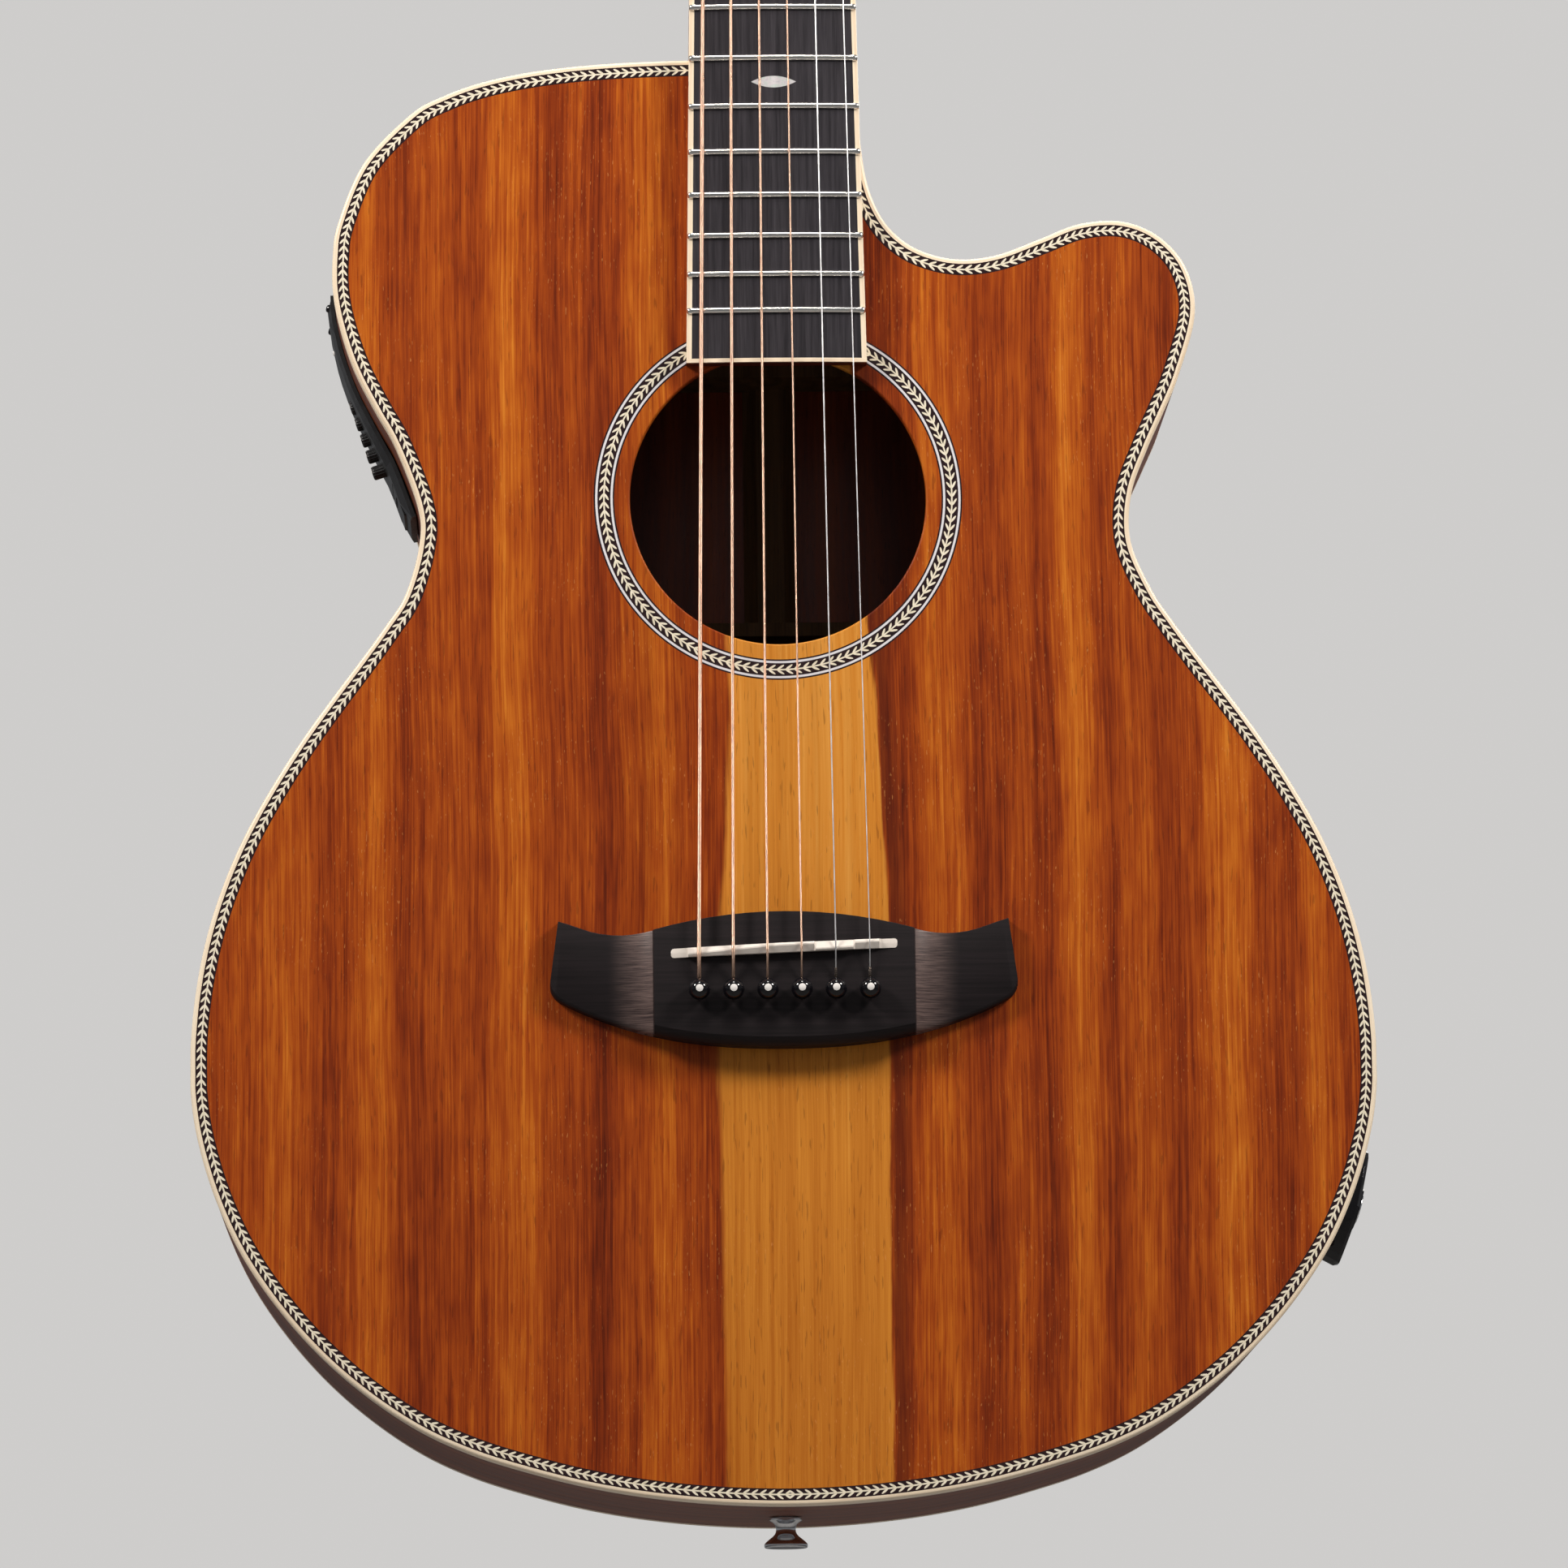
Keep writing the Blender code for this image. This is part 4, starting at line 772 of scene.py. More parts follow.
def body_shell():
    """Bindings, purfling and the bent sides, with the side open behind the battery door."""
    depth, corner = 6 * MM, 0.9 * MM
    arc = [(corner * (1 - math.sin(a)), corner * (1 - math.cos(a))) for a in np.linspace(0, QUARTER, 5)]
    profile = [(BINDING, 0.0)] + arc + [(0.0, depth), (BINDING, depth)]
    steps = [math.dist(a, b) for a, b in zip(profile, profile[1:] + profile[:1])]
    around = np.concatenate([[0.0], np.cumsum(steps)])
    rim("edge_binding_top", [at_depth(inset(w), TOP_Y + d) for w, d in profile], "binding", around,
        stands_for=["top_binding"])
    rim("edge_binding_back", [from_back(inset(w), d) for w, d in profile], "binding", around,
        stands_for=["back_binding"])
    thick, proud, half = 1.5 * MM, 0.02 * MM, PURFLING / 2
    outer, inner = inset(BINDING - LAP), inset(BINDING + PURFLING)
    rails = [at_depth(outer, TOP_Y - proud), at_depth(inner, TOP_Y - proud),
             at_depth(inner, TOP_Y + thick), at_depth(outer, TOP_Y + thick)]
    rim("leaf_purfling_top", rails, "purfling", [-half, half, half + thick, -half - thick, -half],
        stands_for=["top_purfling"])
    outer, inner = inset(LAP), inset(2.3 * MM)
    rails = [at_depth(outer, TOP_Y + depth), from_back(outer, depth), from_back(inner, depth),
             at_depth(inner, TOP_Y + depth)]
    sides = rim("bent_sides", rails, "koa_side", [0, 0.091, 0.093, 0.184, 0.186],
                stands_for=["side_bass", "side_treble"])
    low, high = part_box("battery_door")
    cut_box(sides, low - Vector((10, 0.4, 0.4)) * MM, high + Vector((25, 0.4, 0.4)) * MM)


def top_plate():
    """The top, cut round the hole, with a softened edge at the hole."""
    edge = inset(BINDING - LAP)
    count, steps = len(edge), 180
    turn = [math.tau * s / steps for s in range(steps)]
    joins = [(i, (i + 1) % steps) for i in range(steps)]
    joins += [(steps + i, steps + (i + 1) % count) for i in range(count)]
    points, faces, loops = [], [], []
    for wider, depth in ((0.5 * MM, 0.0), (0.15 * MM, 0.15 * MM), (0.0, 0.5 * MM), (0.0, PLATE)):
        radius = HOLE_RADIUS + wider
        flat = [Vector((math.cos(a) * radius, HOLE_Z + math.sin(a) * radius)) for a in turn]
        if depth in (0.0, PLATE):
            flat += [Vector(p) for p in edge]
            triangles = delaunay_2d_cdt(flat, joins, [], 1, 1e-9)[2]
            faces += [[len(points) + i for i in corners] for corners in triangles if max(corners) >= steps]
        loops.append([len(points) + i for i in range(len(flat))])
        points += [(p.x, TOP_Y + depth, p.y) for p in flat]
    front, back = loops[0][steps:], loops[-1][steps:]
    for low, high, size in [(front, back, count)] + [(*pair, steps) for pair in zip(loops, loops[1:])]:
        faces += [[low[i], low[(i + 1) % size], high[(i + 1) % size], high[i]] for i in range(size)]
    add("acacia_top", points, faces, "koa_top", stands_for=["soundboard"], angle=0)


def rosette_ring():
    """The leaf inlay round the sound hole."""
    steps, thick = 240, 1.5 * MM
    inner, outer = ROSETTE
    middle, half = (inner + outer) / 2, (outer - inner) / 2
    profile = [(outer, -0.02 * MM), (outer, thick), (inner, thick), (inner, -0.02 * MM)]
    turn = [math.tau * s / steps for s in range(steps + 1)]
    sections = [[(radius * math.sin(a), TOP_Y + depth, HOLE_Z + radius * math.cos(a))
                 for radius, depth in profile] for a in turn[:-1]]
    points, faces = skin(sections, loop=True)
    uvs = strip_uvs([(a * middle, b * middle) for a, b in zip(turn, turn[1:])],
                    [half, half + thick, -half - thick, -half, half])
    add("leaf_rosette", points, faces, "rosette", stands_for=["rosette"], uvs=uvs)


def back_plate():
    """The gently domed back."""
    centre = np.array([0.0, TAIL_Z + 211 * MM])
    edge = inset(BINDING - LAP)
    scales = [1.0, 0.985, 0.95, 0.9, 0.82, 0.72, 0.6, 0.48, 0.36, 0.24, 0.12, 0.03]
    sections = []
    for thickness, order in ((0.0, scales), (PLATE, scales[::-1])):
        for scale in order:
            ring = from_back(centre + (edge - centre) * scale, thickness)
            ring[:, 1] += DOME * (1 - scale ** 2)
            sections.append(ring)
    points, faces = skin(sections, loop=True)
    last, end = (len(scales) - 1) * len(edge), len(scales) * len(edge)
    faces[last:end] = [tuple(range(last, end)), tuple(range(end, end + len(edge)))[::-1]]
    add("domed_back", points, faces, "koa_back", stands_for=["back_plate"])


# Fingerboard, frets, nut


def board_half(z):
    """Half the board's width at a height."""
    return (43 * MM + 0.0345 * (NUT_Z - z)) / 2


def crown(x):
    """How far the board's arched face has dropped at a distance from its middle."""
    return CROWN_RADIUS - math.sqrt(CROWN_RADIUS ** 2 - x * x)


def fret_z(number):
    return SADDLE_Z + SCALE_LENGTH * 2 ** (-number / 12)


def board_top(x):
    return TOP_Y - BOARD_HEIGHT + crown(x)


def fingerboard():
    """The board between its bindings, with a pale and a brown strip across its end."""
    width, end, foot = 1.7 * MM, 1.3 * MM, TOP_Y - 0.1 * MM
    low, high = BOARD_END_Z, NUT_Z - 0.1 * MM
    sections = []
    for z in np.linspace(low + end, high, 12):
        half = board_half(z) - width
        sections.append([(x, board_top(x), z) for x in np.linspace(-half, half, 13)]
                        + [(half, foot, z), (-half, foot, z)])
    loft("ebony_board", sections, "ebony", stands_for=["fingerboard"])
    edge = [(width, 0.0), (0.35 * MM, 0.0), (0.1 * MM, 0.1 * MM), (0.0, 0.4 * MM)]
    heights = np.linspace(low + end, high, 40)
    for side, name in ((-1, "bass"), (1, "treble")):
        sections = []
        for z in heights:
            half = board_half(z)
            shape = [(side * (half - back), board_top(half - back) + down, z) for back, down in edge]
            sections.append(shape + [(side * half, foot, z), (side * (half - width), foot, z)])
        loft(f"board_binding_{name}", sections, "binding", heights,
             [0, 0.0013, 0.0016, 0.002, 0.008, 0.01, 0.016])
    half = board_half(low)
    across = np.linspace(-half, half, 15)
    for name, front, back, material in (("board_end_strip", 0.0, 1.1 * MM, "binding"),
                                        ("board_end_brown", 1.1 * MM, BOARD_HEIGHT, "brown_edge")):
        sections = []
        for x in across:
            near, far = board_top(x) + front, min(board_top(x) + back, foot)
            sections.append([(x, near, low), (x, near, low + end), (x, far, low + end), (x, far, low)])
        loft(name, sections, material, across, [0, 0.0013, 0.0024, 0.0037, 0.0048])


def fret(number):
    """A crowned wire with rounded, slightly wider ends over the board's binding."""
    z = fret_z(number)
    half = board_half(z)
    ends = [(0.0, 0.35, 0.25), (0.12, 0.7, 0.55), (0.35, 0.92, 0.85), (0.7, 1.0, 1.0), (1.5, 1.0, 1.05),
            (2.0, 0.92, 1.0)]
    rows = [(out * MM - half, wide, rise) for out, wide, rise in ends]
    rows += [(x, 0.88, 1.0) for x in np.linspace(3 * MM - half, half - 3 * MM, 9)]
    rows += [(half - out * MM, wide, rise) for out, wide, rise in ends[::-1]]
    sections = []
    for x, wide, rise in rows:
        top, width = board_top(x), 1.15 * MM * wide
        sections.append([(x, top - 1.05 * MM * math.sin(a) * rise, z + width * math.cos(a))
                         for a in np.linspace(0, math.pi, 11)]
                        + [(x, top + 0.3 * MM, z - width), (x, top + 0.3 * MM, z + width)])
    loft(f"fret_{number}", sections, "fret", angle=50)


def position_marks():
    """Pointed pearl ovals on the face and dots along the bass edge."""
    reach, rise, steps = 7.4 * MM, 1.95 * MM, 14
    dot = [(0, 0), (0.9, 0), (0.9, 0.33), (0, 0.36)]
    for number in (3, 5, 7, 9, 12, 15):
        z = (fret_z(number) + fret_z(number - 1)) / 2
        outline = [(x, side * rise * (1 - (x / reach) ** 2)) for side in (1, -1)
                   for x in np.linspace(-side * reach, side * reach, steps + 1)[:-1]]
        sections = [[(x, board_top(x) + depth, z + up) for x, up in outline]
                    for depth in (-0.03 * MM, 0.8 * MM)]
        loft(f"pearl_mark_{number}", sections, "pearl")
        for index, up in enumerate([-2.6 * MM, 2.6 * MM] if number == 12 else [0.0], 1):
            spot = Matrix.Translation((0.3 * MM - board_half(z), TOP_Y - 3.4 * MM, z + up))
            spot = spot @ Matrix.Rotation(-QUARTER, 4, "Y")
            lathe(f"side_dot_{number}_{index}", dot, 16, "gloss_black", spot)


# Bridge, saddle, pins, strings: x in the bridge's shape, and heights above the tail, are in millimetres


def bridge_edges(x):
    """The lower and upper edge at a distance from the middle."""
    share = x / 76.5
    low = 147 + 9 * share ** 2 + 9.5 * share ** 3.2
    if x < BLOCK:
        return low, 190.7 - 5.7 * (x / BLOCK) ** 2
    return low, 185 - 1.3 * math.sin(math.pi * (x - BLOCK) / 22) + 2.6 * ((x - BLOCK) / 34.5) ** 3


def bridge():
    """A chamfered block between scooped wings whose lower outer corners are rounded."""
    end, corner, soft = 75, 3.6, 0.35
    half = [0, 6, 12, 18, 24, 30, 36, 41.6, 41.95, 42.0, 42.3, 43, 44, 45.5, 47, 49, 52, 55, 59, 62, 65, 68,
            70.5, 71.4, 72.4, 73.2, 73.9, 74.4, 74.75, 75]
    sections = []
    for side, out in [(-1, x) for x in half[:0:-1]] + [(1, x) for x in half]:
        low, high = bridge_edges(out)
        past = max(0, out - (end - corner))
        low += corner - math.sqrt(max(0, corner ** 2 - past ** 2))
        wing = max(0, out - BLOCK)
        rise = 4 + 3.2 * math.exp(-wing / 4.5) if wing else BRIDGE_HEIGHT / MM
        slope = 0.28 * rise
        shape = [(high, 0), (high, rise - soft), (high - 0.1, rise - 0.1), (high - soft, rise),
                 (low + slope + soft, rise), (low + slope * 0.75, rise - 0.22 * slope),
                 (low + slope * 0.3, rise - 0.62 * slope), (low + 0.1, rise - slope * 1.1), (low, 0)]
        lean = max(0, out - 60) / 15 * 0.135
        wide = out + wing * 0.036
        sections.append([(side * (wide + lean * (163 - z)) * MM, TOP_Y - up * MM, TAIL_Z + z * MM)
                         for z, up in shape])
    loft("carved_bridge", sections, "bridge", stands_for=["bridge"], angle=25)


def saddle_line(x):
    """Height of the slanting saddle's middle line."""
    return SADDLE_Z + (-6.2 + 1.45 * x / (36.5 * MM)) * MM


def saddle():
    """Compensated bone: the ridge under the strings steps back and forth along it."""
    rows = [(-36.5, None, 0.35), (-36.35, None, 0.7), (-36, None, 0.92), (-35.5, None, 1), (-31.2, None, 1),
            (-31, -0.55, 1), (-22, -0.2, 1), (-10, 0.3, 1), (-2, 0.6, 1), (9.6, 0.65, 1), (10, -0.75, 1),
            (16, -0.7, 1), (22.2, -0.6, 1), (22.8, 0.45, 1), (30.6, 0.55, 1), (31.3, None, 1),
            (35.5, None, 1), (36, None, 0.92), (36.3, None, 0.7), (36.45, None, 0.35)]
    sections = []
    for mm, ridge, end in rows:
        x = mm * MM
        z = saddle_line(x)
        face = TOP_Y - (11.9 * MM - crown(x))
        front = rear = 0.15 * MM
        if ridge is None:
            face += 1.1 * MM
        else:
            front, rear = [max(0.6 - side * ridge * 0.5, 0.12) * MM for side in (1, -1)]
        back, width, middle = TOP_Y - 6 * MM, 1.5 * MM * end, (ridge or 0) * 1.2
        ridges = [(x, face, z + (middle + side * 0.22) * MM * end) for side in (1, -1)]
        sections.append([(x, back, z + width), (x, face + front, z + width), *ridges,
                         (x, face + rear, z - width), (x, back, z - width)])
    loft("bone_saddle", sections, "bone", stands_for=["saddle"], angle=18)


def bridge_pins():
    """Ball-headed pins with a white dot on each."""
    foot = BRIDGE_HEIGHT / MM
    centre, radius, proud = foot + 3.2, 3.5, 0.03
    ball = [(0, centre + radius)]
    ball += [(radius * math.cos(a), centre + radius * math.sin(a))
             for a in np.linspace(QUARTER, -math.radians(48), 20)[1:]]
    ball += [(2.5, foot + 0.25), (2.45, foot - 0.5), (0, foot - 2)]
    dot = [(0, centre + radius + proud)]
    dot += [(r, centre + math.sqrt(radius ** 2 - r ** 2) + proud) for r in (0.413, 0.826, 1.18)]
    dot += [(1.1, centre + radius - 0.9), (0, centre + radius - 0.9)]
    for index in range(6):
        spot = Matrix.Translation(((index - 2.5) * PITCH_SADDLE, TOP_Y, PIN_Z)) @ FORWARD
        lathe(f"ball_pin_{index + 1}", ball, 40, "gloss_black", spot,
              stands_for=[f"bridge_pin_{index + 1}"])
        lathe(f"pin_dot_{index + 1}", dot, 24, "white_dot", spot)


def post_place(index):
    """A string post's place across and up the headstock, in millimetres."""
    x, up = POST_PLACES[min(index, 5 - index)]
    return (-x if index < 3 else x), up


def strings():
    """Wound and plain strings from the pins over the saddle and nut to their turns on the posts."""
    for index, radius in enumerate(STRING_RADII):
        x, nut_x = (index - 2.5) * PITCH_SADDLE, (index - 2.5) * PITCH_NUT
        slot_z, saddle_at = PIN_Z + 4 * MM, saddle_line(x)
        over = TOP_Y - (BRIDGE_HEIGHT + 0.45 * MM + radius)
        high = TOP_Y - (12.2 * MM - crown(x) + radius)
        at_nut = TOP_Y - (8 * MM - crown(nut_x) + radius)
        route = [(x, TOP_Y - 5 * MM, slot_z - 0.4 * MM), (x, over + 0.7 * MM, slot_z - 0.15 * MM),
                 (x, over, slot_z + 0.5 * MM), (x, high + 0.25 * MM, saddle_at - 0.9 * MM),
                 (x, high, saddle_at), (x, high, saddle_at + 1.2 * MM)]
        start, end = Vector((x, high, saddle_at)), Vector((nut_x, at_nut, NUT_Z))
        route += [start.lerp(end, share) for share in np.linspace(0, 1, 9)[1:]]
        route.append((nut_x, at_nut + 1.2 * MM, NUT_Z + 5 * MM))
        post_x, up = [mm * MM for mm in post_place(index)]
        inward = -math.copysign(1, post_x)
        winding, turns, steps = 2.9 * MM + radius, 2.2, 56
        for step in range(steps + 1):
            angle = math.tau * turns * step / steps
            height = 10 * MM - (turns * 2.05 * radius + 0.6 * MM) * step / steps
            route.append(HEAD @ Vector((post_x + inward * winding * math.cos(angle), -height,
                                        up + winding * math.sin(angle))))
        if index < 4:
            kind, drawn, material = "wound", radius, "bronze_string"
        else:
            kind, drawn, material = "plain", radius + 0.04 * MM, "plain_string"
        tube(f"{kind}_string_{index + 1}", route, drawn, 14, material, stands_for=[f"string_{index + 1}"])
        if kind == "plain":
            first, second, third = [Vector(p) for p in route[1:4]]
            ahead = (third - second).normalized() * 2.6 * MM
            tube(f"string_wrap_{index + 1}", [first + Vector((0, 0, 0.2 * MM)), second, second + ahead],
                 0.42 * MM, 12, "string_wrap")


# Neck and headstock


def neck_section(z, half, face, depth, power):
    """The neck's section at a height: a flat face and a rounded back."""
    points = []
    for angle in np.linspace(0, math.pi, 41):
        cosine, sine = math.cos(angle), max(math.sin(angle), 0)
        points.append((half * math.copysign(abs(cosine) ** power, cosine),
                       face + min(87 * MM, depth * sine ** power), z))
    return points + [(half * share, face, z) for share in (-0.5, 0, 0.5)]


def neck():
    """Heel, shaft and headstock of one mahogany piece, with a veneer and a heel cap."""
    base = TAIL_Z + BODY_LENGTH + 0.3 * MM
    heel = [(0, 114), (12, 113), (19, 104), (24, 88), (28, 71), (33, 55), (39, 43), (47, 33), (57, 26.5),
            (71, 22), (92, 19.5), (200, 18), ((NUT_Z - base) / MM - 25, 16)]
    sections = []
    for rise, depth in curve_through(heel, 5):
        z = base + rise * MM
        sections.append(neck_section(z, board_half(z), TOP_Y, depth * MM, 0.85))
    head = [(0, 21.5, 15.5, 0.85), (6, 22, 15, 0.7), (14, 26, 15, 0.45), (26, 33, 15, 0.28),
            (42, 36, 15, 0.2), (100, 35, 15, 0.2), (150, 33.5, 15, 0.2), (168, 30, 15, 0.24),
            (177, 23, 15, 0.3), (181, 12, 15, 0.35)]
    for rise, half, depth, power in curve_through(head, 5):
        face = TOP_Y + max(0, rise * MM - HEAD_START) * math.tan(HEAD_TILT)
        sections.append(neck_section(NUT_Z + rise * MM, half * MM, face, depth * MM, power))
    loft("carved_neck", sections, "mahogany", stands_for=["neck"])
    sections = []
    for rise, half, _, _ in curve_through(head[2:], 5):
        up = (rise * MM - HEAD_START) / math.cos(HEAD_TILT)
        rails = [(half - back, depth) for back, depth in ((0.2, 0.6), (0.2, 0.2), (0.6, -0.12))]
        shape = [(-x, y) for x, y in rails] + rails[::-1]
        sections.append([HEAD @ Vector((x * MM, y * MM, up)) for x, y in shape])
    loft("headstock_veneer", sections, "head_ebony", angle=0)
    foot = base + 0.2 * MM
    half = 0.96 * board_half(foot)
    sections = [[(half * math.cos(a), TOP_Y + y * MM, foot + 11 * MM * max(0, math.sin(a)))
                 for a in np.linspace(0, math.pi, 25)] for y in (85.5, 87.6, 88.4)]
    loft("heel_cap", sections, "binding")


def head_fittings():
    """Tuning machines with their bushings and screws, and the cover over the truss rod's end."""
    post = [(0, 17), (2, 17), (2.6, 16.7), (2.95, 16), (3, 15.4), (3, 12.8), (2.85, 12.3), (2.6, 11.9),
            (2.6, 4.6), (2.85, 4.2), (3, 3.7), (3, -20.6), (0, -20.6)]
    washer = [(3.3, 2.2), (4.6, 2.2), (5.3, 1.9), (5.8, 1.2), (6.9, 0.9), (7.3, 0.4), (7.3, 0), (3.3, 0)]
    hexagon = [(3.35, 0.8), (5.6, 0.8), (5.6, 2.1), (5.1, 2.4), (3.35, 2.4)]
    boss = [(0, 28.1), (1.6, 28.1), (2.2, 27.7), (2.3, 26), (0, 26)]
    collar = [(2.3, 13.6), (3.3, 13.2), (3.5, 12.4), (3.5, 9.6), (3.3, 8.4), (0, 8.4)]
    neck_row = (4, 2.2, 2.2)
    button = [(16.4, 2.2, 2.2), (17.2, 2.6, 2.5), (18.4, 4.2, 3.2), (20.5, 7.4, 3.8), (24, 9.1, 4.15),
              (27, 9.1, 4.15), (29.5, 8.2, 3.8), (31.3, 6.0, 2.8), (32, 2.5, 1.2)]
    for number in range(1, 7):
        x, up = post_place(number - 1)
        outward = math.copysign(1, x)
        spot = HEAD @ shift(x, 0, up)
        name = f"tuner_post_{number}"
        lathe(f"string_post_{number}", post, 32, "chrome", spot @ FORWARD, stands_for=[name], body=name)
        lathe(f"bushing_washer_{number}", washer, 36, "chrome", spot @ FORWARD)
        lathe(f"bushing_nut_{number}", hexagon, 6, "chrome", spot @ FORWARD, angle=20)
        case = spot @ shift(0, 0, 3.5) @ REARWARD
        pillow(f"gear_case_{number}", (7.9, 11.4), (15.2, 27.2), 4.5, 2.6, case, "chrome",
               stands_for=[f"tuner_housing_{number}"])
        lathe(f"gear_boss_{number}", boss, 24, "chrome", spot @ REARWARD)
        ear = spot @ shift(-outward * 3.5, 0, 17.6) @ REARWARD
        pillow(f"gear_ear_{number}", (3, 3.6), (14.3, 16.6), 2.6, 0.5, ear, "chrome")
        screw(f"gear_screw_{number}", ear @ shift(0, 1.2, 16.7), 1.8)
        shaft = spot @ shift(0, 21, 6.2) @ Matrix.Rotation(outward * QUARTER, 4, "Y")
        lathe(f"worm_collar_{number}", collar, 28, "chrome", shaft)
        sections = [[shaft @ (Vector((-outward * wide * math.cos(a), deep * math.sin(a), reach)) * MM)
                     for a in np.linspace(0, math.tau, 33)[:-1]]
                    for reach, wide, deep in [neck_row] + curve_through(button, 3)]
        name = f"tuner_key_{number}"
        loft(f"tuner_button_{number}", sections, "chrome", stands_for=[name], body=name, angle=50)
    cover = HEAD @ shift(0, -0.1, 17) @ FORWARD
    pillow("truss_rod_cover", (7, 12), (0, 1.6), 6, 0.5, cover, "gloss_black")
    for number, up in enumerate((-8.5, 8.5), 1):
        screw(f"cover_screw_{number}", cover @ shift(0, up, 1.7), 1.3)


# Electronics and strap pin


def joint_frame(name):
    """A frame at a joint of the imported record, with Z along its axis."""
    joint = next(j for j in frame["record"]["behaviour"]["joints"] if j["name"] == name)
    turn = Vector(joint["axis"]).to_track_quat("Z", "Y").to_matrix().to_4x4()
    return Matrix.Translation(joint["pos_m"]) @ turn


def knobs():
    """Ribbed thumb knobs with a white mark, one for each joint."""
    profile = [(0, 5.7), (1.2, 5.7), (1.55, 5.95), (1.8, 6), (2.1, 5.9), (2.3, 5.6), (2.35, 5.2),
               (2.35, 0.1), (0, 0.1)]
    for number in range(1, 6):
        name = f"preamp_knob_{number}"
        spot = joint_frame(f"{name}_turn")
        lathe(f"ribbed_knob_{number}", profile, 60, "matt_black", spot, stands_for=[name], body=name,
              waist=lambda row, step: 0.93 if 3 < row < 8 and step % 4 < 2 else 1.0)
        pillow(f"knob_mark_{number}", (0.16, 0.75), (5.5, 6.05), 0.14, 0.05, spot @ shift(0, 1.15, 0),
               "white_dot", body=name)


def on_panel(node, share, across, lift=0.0):
    """A frame on the outer surface of a panel in the bass side, at a share of its height."""
    low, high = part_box(node)
    start = Vector((low.x - 20 * MM, (low.y + high.y) / 2 + across * MM, low.z + (high.z - low.z) * share))
    place, normal = PANELS[node].ray_cast(start, Vector((1, 0, 0)))[:2]
    turn = normal.to_track_quat("Z", "Y").to_matrix().to_4x4()
    return Matrix.Translation(place + normal * lift * MM) @ turn


def preamp_details():
    """Screws, battery light and the door's finger ribs on the control panel."""
    for number, across in enumerate((-17, 17), 1):
        screw(f"panel_screw_{number}", on_panel("preamp_housing", 0.955, across, 0.15), 1.3, "gloss_black")
    lamp = [(0, 0.5), (0.7, 0.35), (1, 0), (1, -0.5), (0, -0.5)]
    lathe("battery_light", lamp, 20, "white_dot", on_panel("preamp_housing", 0.83, 9))
    for number in range(5):
        spot = on_panel("battery_door", 0.62, (number - 2) * 2.2) @ Matrix.Rotation(QUARTER, 4, "Z")
        pillow(f"door_rib_{number + 1}", (0.45, 2.6), (-0.3, 0.3), 0.4, 0.2, spot, "matt_black",
               body="battery_door")


def jack_and_pin():
    """The socket's ring in its plate, and the turned strap pin."""
    mount = next(m for m in frame["record"]["mounts"] if m["name"] == "jack_face")
    x, _, z = mount["pos_m"]
    turn = Vector(mount["axis"]).to_track_quat("Z", "Y").to_matrix().to_4x4()
    ring = [(3.7, 0.35), (4.4, 0.5), (5.0, 0.3), (5.15, -0.4), (3.7, -0.4)]
    lathe("jack_ring", ring, 36, "chrome", Matrix.Translation((x, 0, z)) @ turn)
    pin = [(0, 9.75), (4.5, 9.8), (6.2, 10), (6.75, 10), (7, 9.8), (7.1, 9.4), (7.1, 8.9), (6.95, 8.6),
           (6.3, 7.9), (5.2, 7), (4.2, 6.2), (3.6, 5.5), (3.3, 4.8), (3.2, 4.1), (3.3, 3.2), (3.6, 2.4),
           (4.3, 1.7), (5.1, 1.25), (5.35, 1), (5.35, 0.5), (3, 0.4), (3, -20), (0, -21)]
    down = Matrix.Translation((0, 0, TAIL_Z)) @ Matrix.Rotation(math.pi, 4, "X")
    lathe("strap_pin", pin, 48, "chrome", down, stands_for=["end_pin"])


# Assembly, stage, camera

body_shell()
top_plate()
rosette_ring()
back_plate()
fingerboard()
for fret_number in range(1, 21):
    fret(fret_number)
position_marks()
bridge()
saddle()
bridge_pins()
strings()
neck()
head_fittings()
knobs()
PANELS = {node: BVHTree.FromObject(NODES[node], bpy.context.evaluated_depsgraph_get())
          for node in ("preamp_housing", "battery_door")}
preamp_details()
jack_and_pin()

# The linings and braces take the spruce that is painted dark as shade.
CAD_LOOKS = {
    "top_lining": "spruce", "back_lining": "spruce", "soundboard_bracing": "spruce",
    "back_bracing": "spruce", "tail_block": "mahogany", "neck_block": "mahogany", "truss_rod": "steel",
    "piezo_pickup": "brass", "nut": "bone", "preamp_housing": "matt_black",
    "battery_door": "matt_black", "jack_plate": "gloss_black",
}
for node, look in CAD_LOOKS.items():
    mesh = NODES[node].data
    mesh.materials.clear()
    mesh.materials.append(MATERIALS[look])
for node in ("preamp_housing", "battery_door", "jack_plate", "nut"):
    weld = NODES[node].modifiers.new("join the faces", "WELD")
    weld.merge_threshold = 0.01 * MM
    soften = NODES[node].modifiers.new("rounded edges", "BEVEL")
    soften.width = 0.35 * MM
    soften.segments = 2
    soften.limit_method = "ANGLE"
    soften.angle_limit = math.radians(40)


# Soft boxes: name, place in metres, watts, width.
BOXES = [("left_box", (-1.2, -0.75, 1.2), 23, 0.36), ("right_box", (1.2, -0.75, 1.2), 23, 0.36),
         ("top_box", (0.0, -0.6, 1.7), 7, 0.3), ("rear_box", (0.3, 1.9, 1.4), 22, 1.2)]
FLOOR_SIZE, FLOOR_LEVEL = 9, -0.5


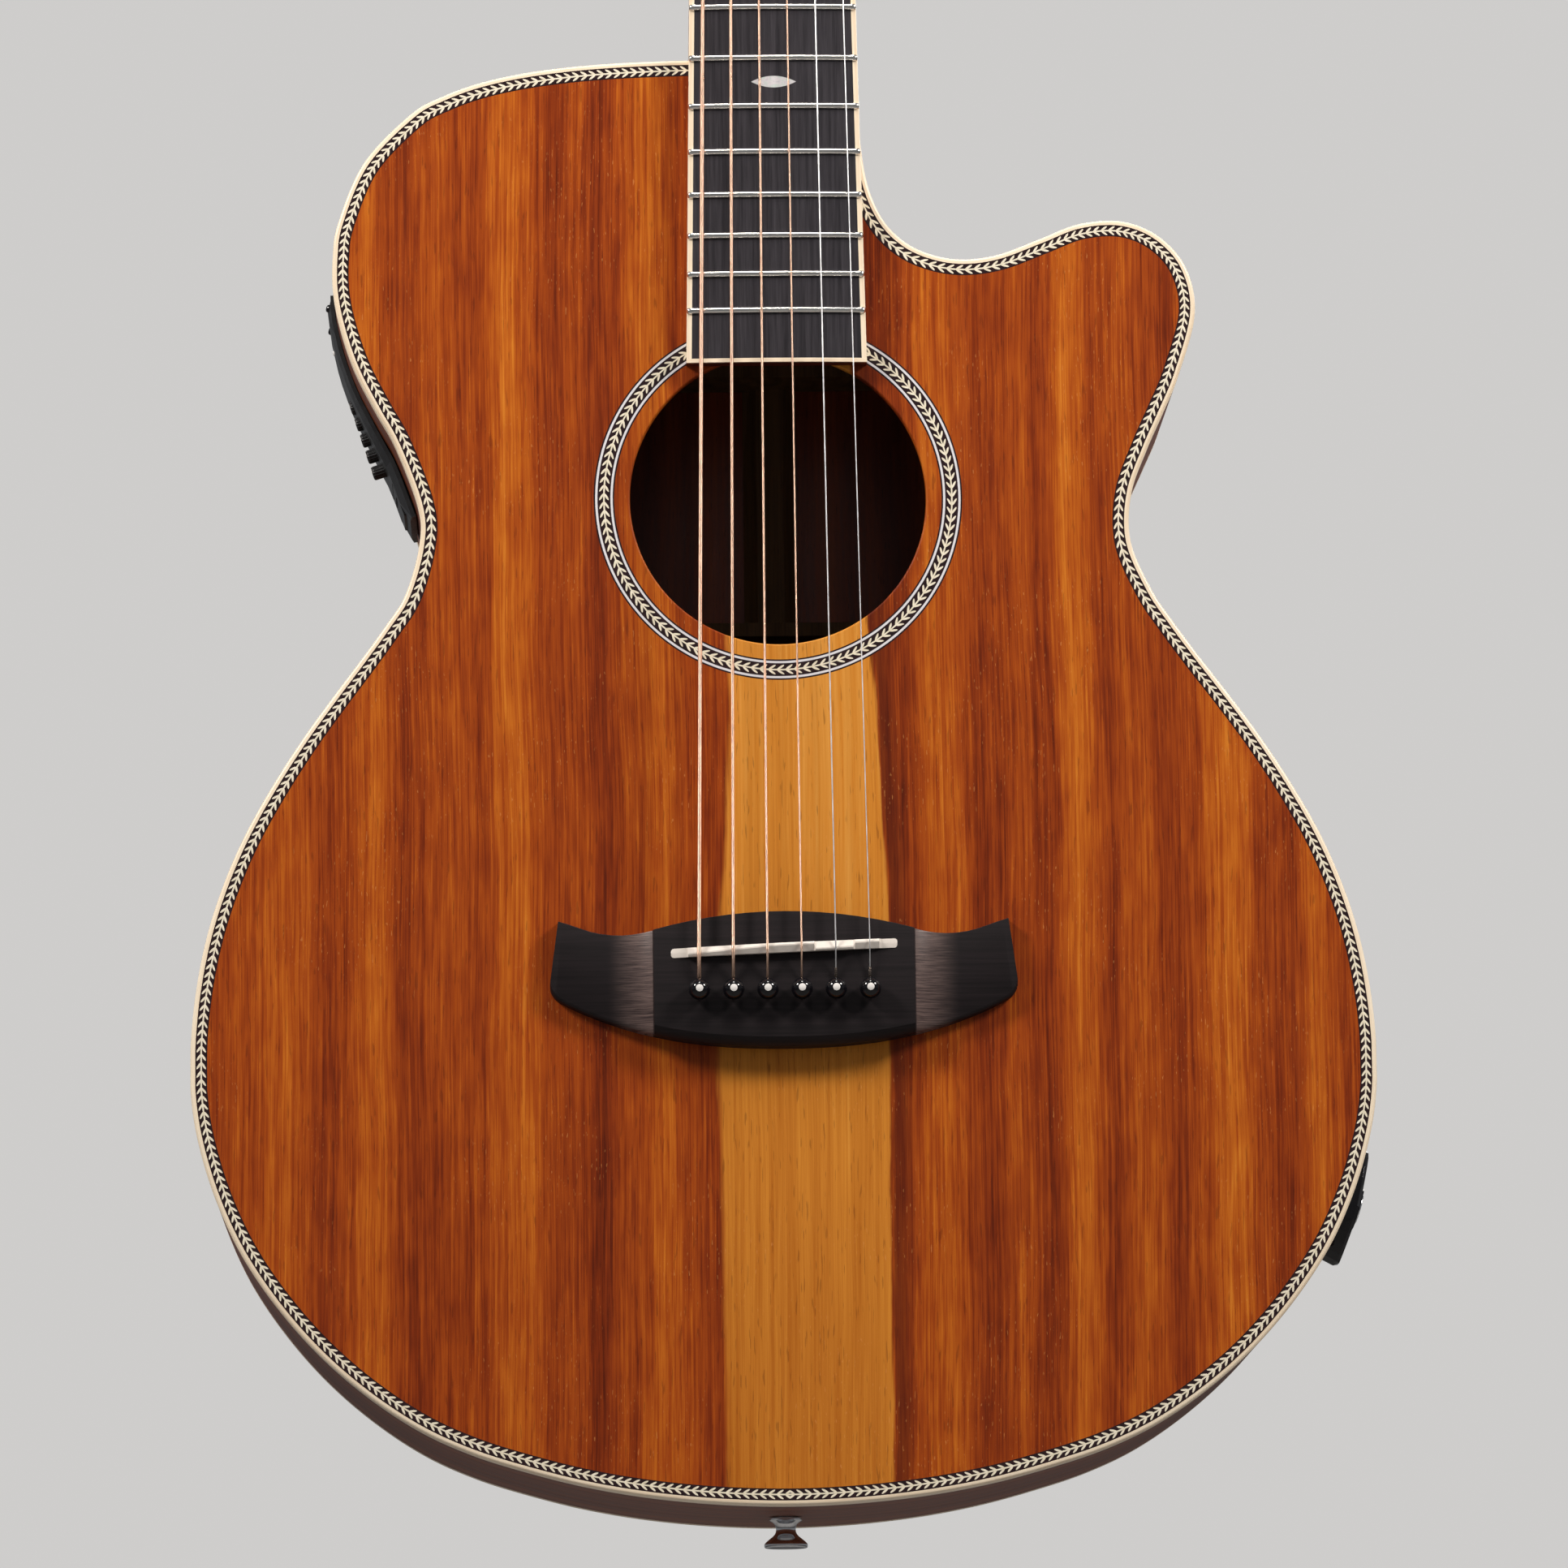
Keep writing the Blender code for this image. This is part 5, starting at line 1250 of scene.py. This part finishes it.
def stage():
    """A pale floor below the guitar, three soft boxes before it and one behind, and a low fill."""
    shader = Shader("studio_floor", 0.7, specular=0.2)
    cloth = shader.noise(shader.position(), 60, 3.0)
    shader.done(shader.ramp(cloth, [(0.3, (0.24, 0.236, 0.232)), (0.7, (0.256, 0.252, 0.248))]))
    shader.set("Emission Color", shader.ramp(cloth, [(0.3, (0.61, 0.60, 0.59)), (0.7, (0.63, 0.62, 0.61))]))
    seen = shader.node("ShaderNodeLightPath").outputs["Is Camera Ray"]
    shader.set("Emission Strength", shader.times(seen, 0.85))
    mesh = bpy.data.meshes.new("studio_floor")
    square = [(-1, -1), (1, -1), (1, 1), (-1, 1)]
    corners = [(x * FLOOR_SIZE, y * FLOOR_SIZE, FLOOR_LEVEL) for x, y in square]
    mesh.from_pydata(corners, [], [(0, 1, 2, 3)])
    mesh.materials.append(shader.material)
    link("studio_floor", mesh)
    world = bpy.data.worlds.new("studio")
    world.use_nodes = True
    tree = world.node_tree
    backdrop = tree.nodes["Background"]
    backdrop.inputs["Color"].default_value = (0.62, 0.61, 0.60, 1)
    ambient = tree.nodes.new("ShaderNodeBackground")
    ambient.inputs["Color"].default_value = (0.95, 0.97, 1.0, 1)
    ambient.inputs["Strength"].default_value = 0.2
    seen = tree.nodes.new("ShaderNodeLightPath")
    mixed = tree.nodes.new("ShaderNodeMixShader")
    tree.links.new(seen.outputs["Is Camera Ray"], mixed.inputs[0])
    tree.links.new(ambient.outputs[0], mixed.inputs[1])
    tree.links.new(backdrop.outputs[0], mixed.inputs[2])
    tree.links.new(mixed.outputs[0], tree.nodes["World Output"].inputs["Surface"])
    bpy.context.scene.world = world
    target = Vector((0, TOP_Y, 0.3))
    for name, place, power, size in BOXES:
        light = bpy.data.lights.new(name, "AREA")
        light.energy = power
        light.size = size
        light.color = (1.0, 0.96, 0.91)
        lamp = link(name, light)
        lamp.location = place
        lamp.rotation_euler = (target - Vector(place)).to_track_quat("-Z", "Y").to_euler()


def camera():
    """A long lens before the guitar, a little left of it and below its middle, looking slightly up."""
    data = bpy.data.cameras.new("camera")
    data.lens = 185.24
    data.sensor_width = 36
    data.clip_start = 0.05
    data.clip_end = 60
    made = link("camera", data)
    turn = Matrix.Rotation(-0.02939, 4, "Z") @ Matrix.Rotation(0.16399, 4, "X")
    turn = turn @ Matrix.Rotation(0.01216, 4, "Y")
    place = Matrix.Translation((-0.075, -2.63073, -0.1834))
    made.matrix_world = place @ turn @ FORWARD
    bpy.context.scene.camera = made


stage()
camera()
bpy.context.scene.view_settings.view_transform = "Standard"
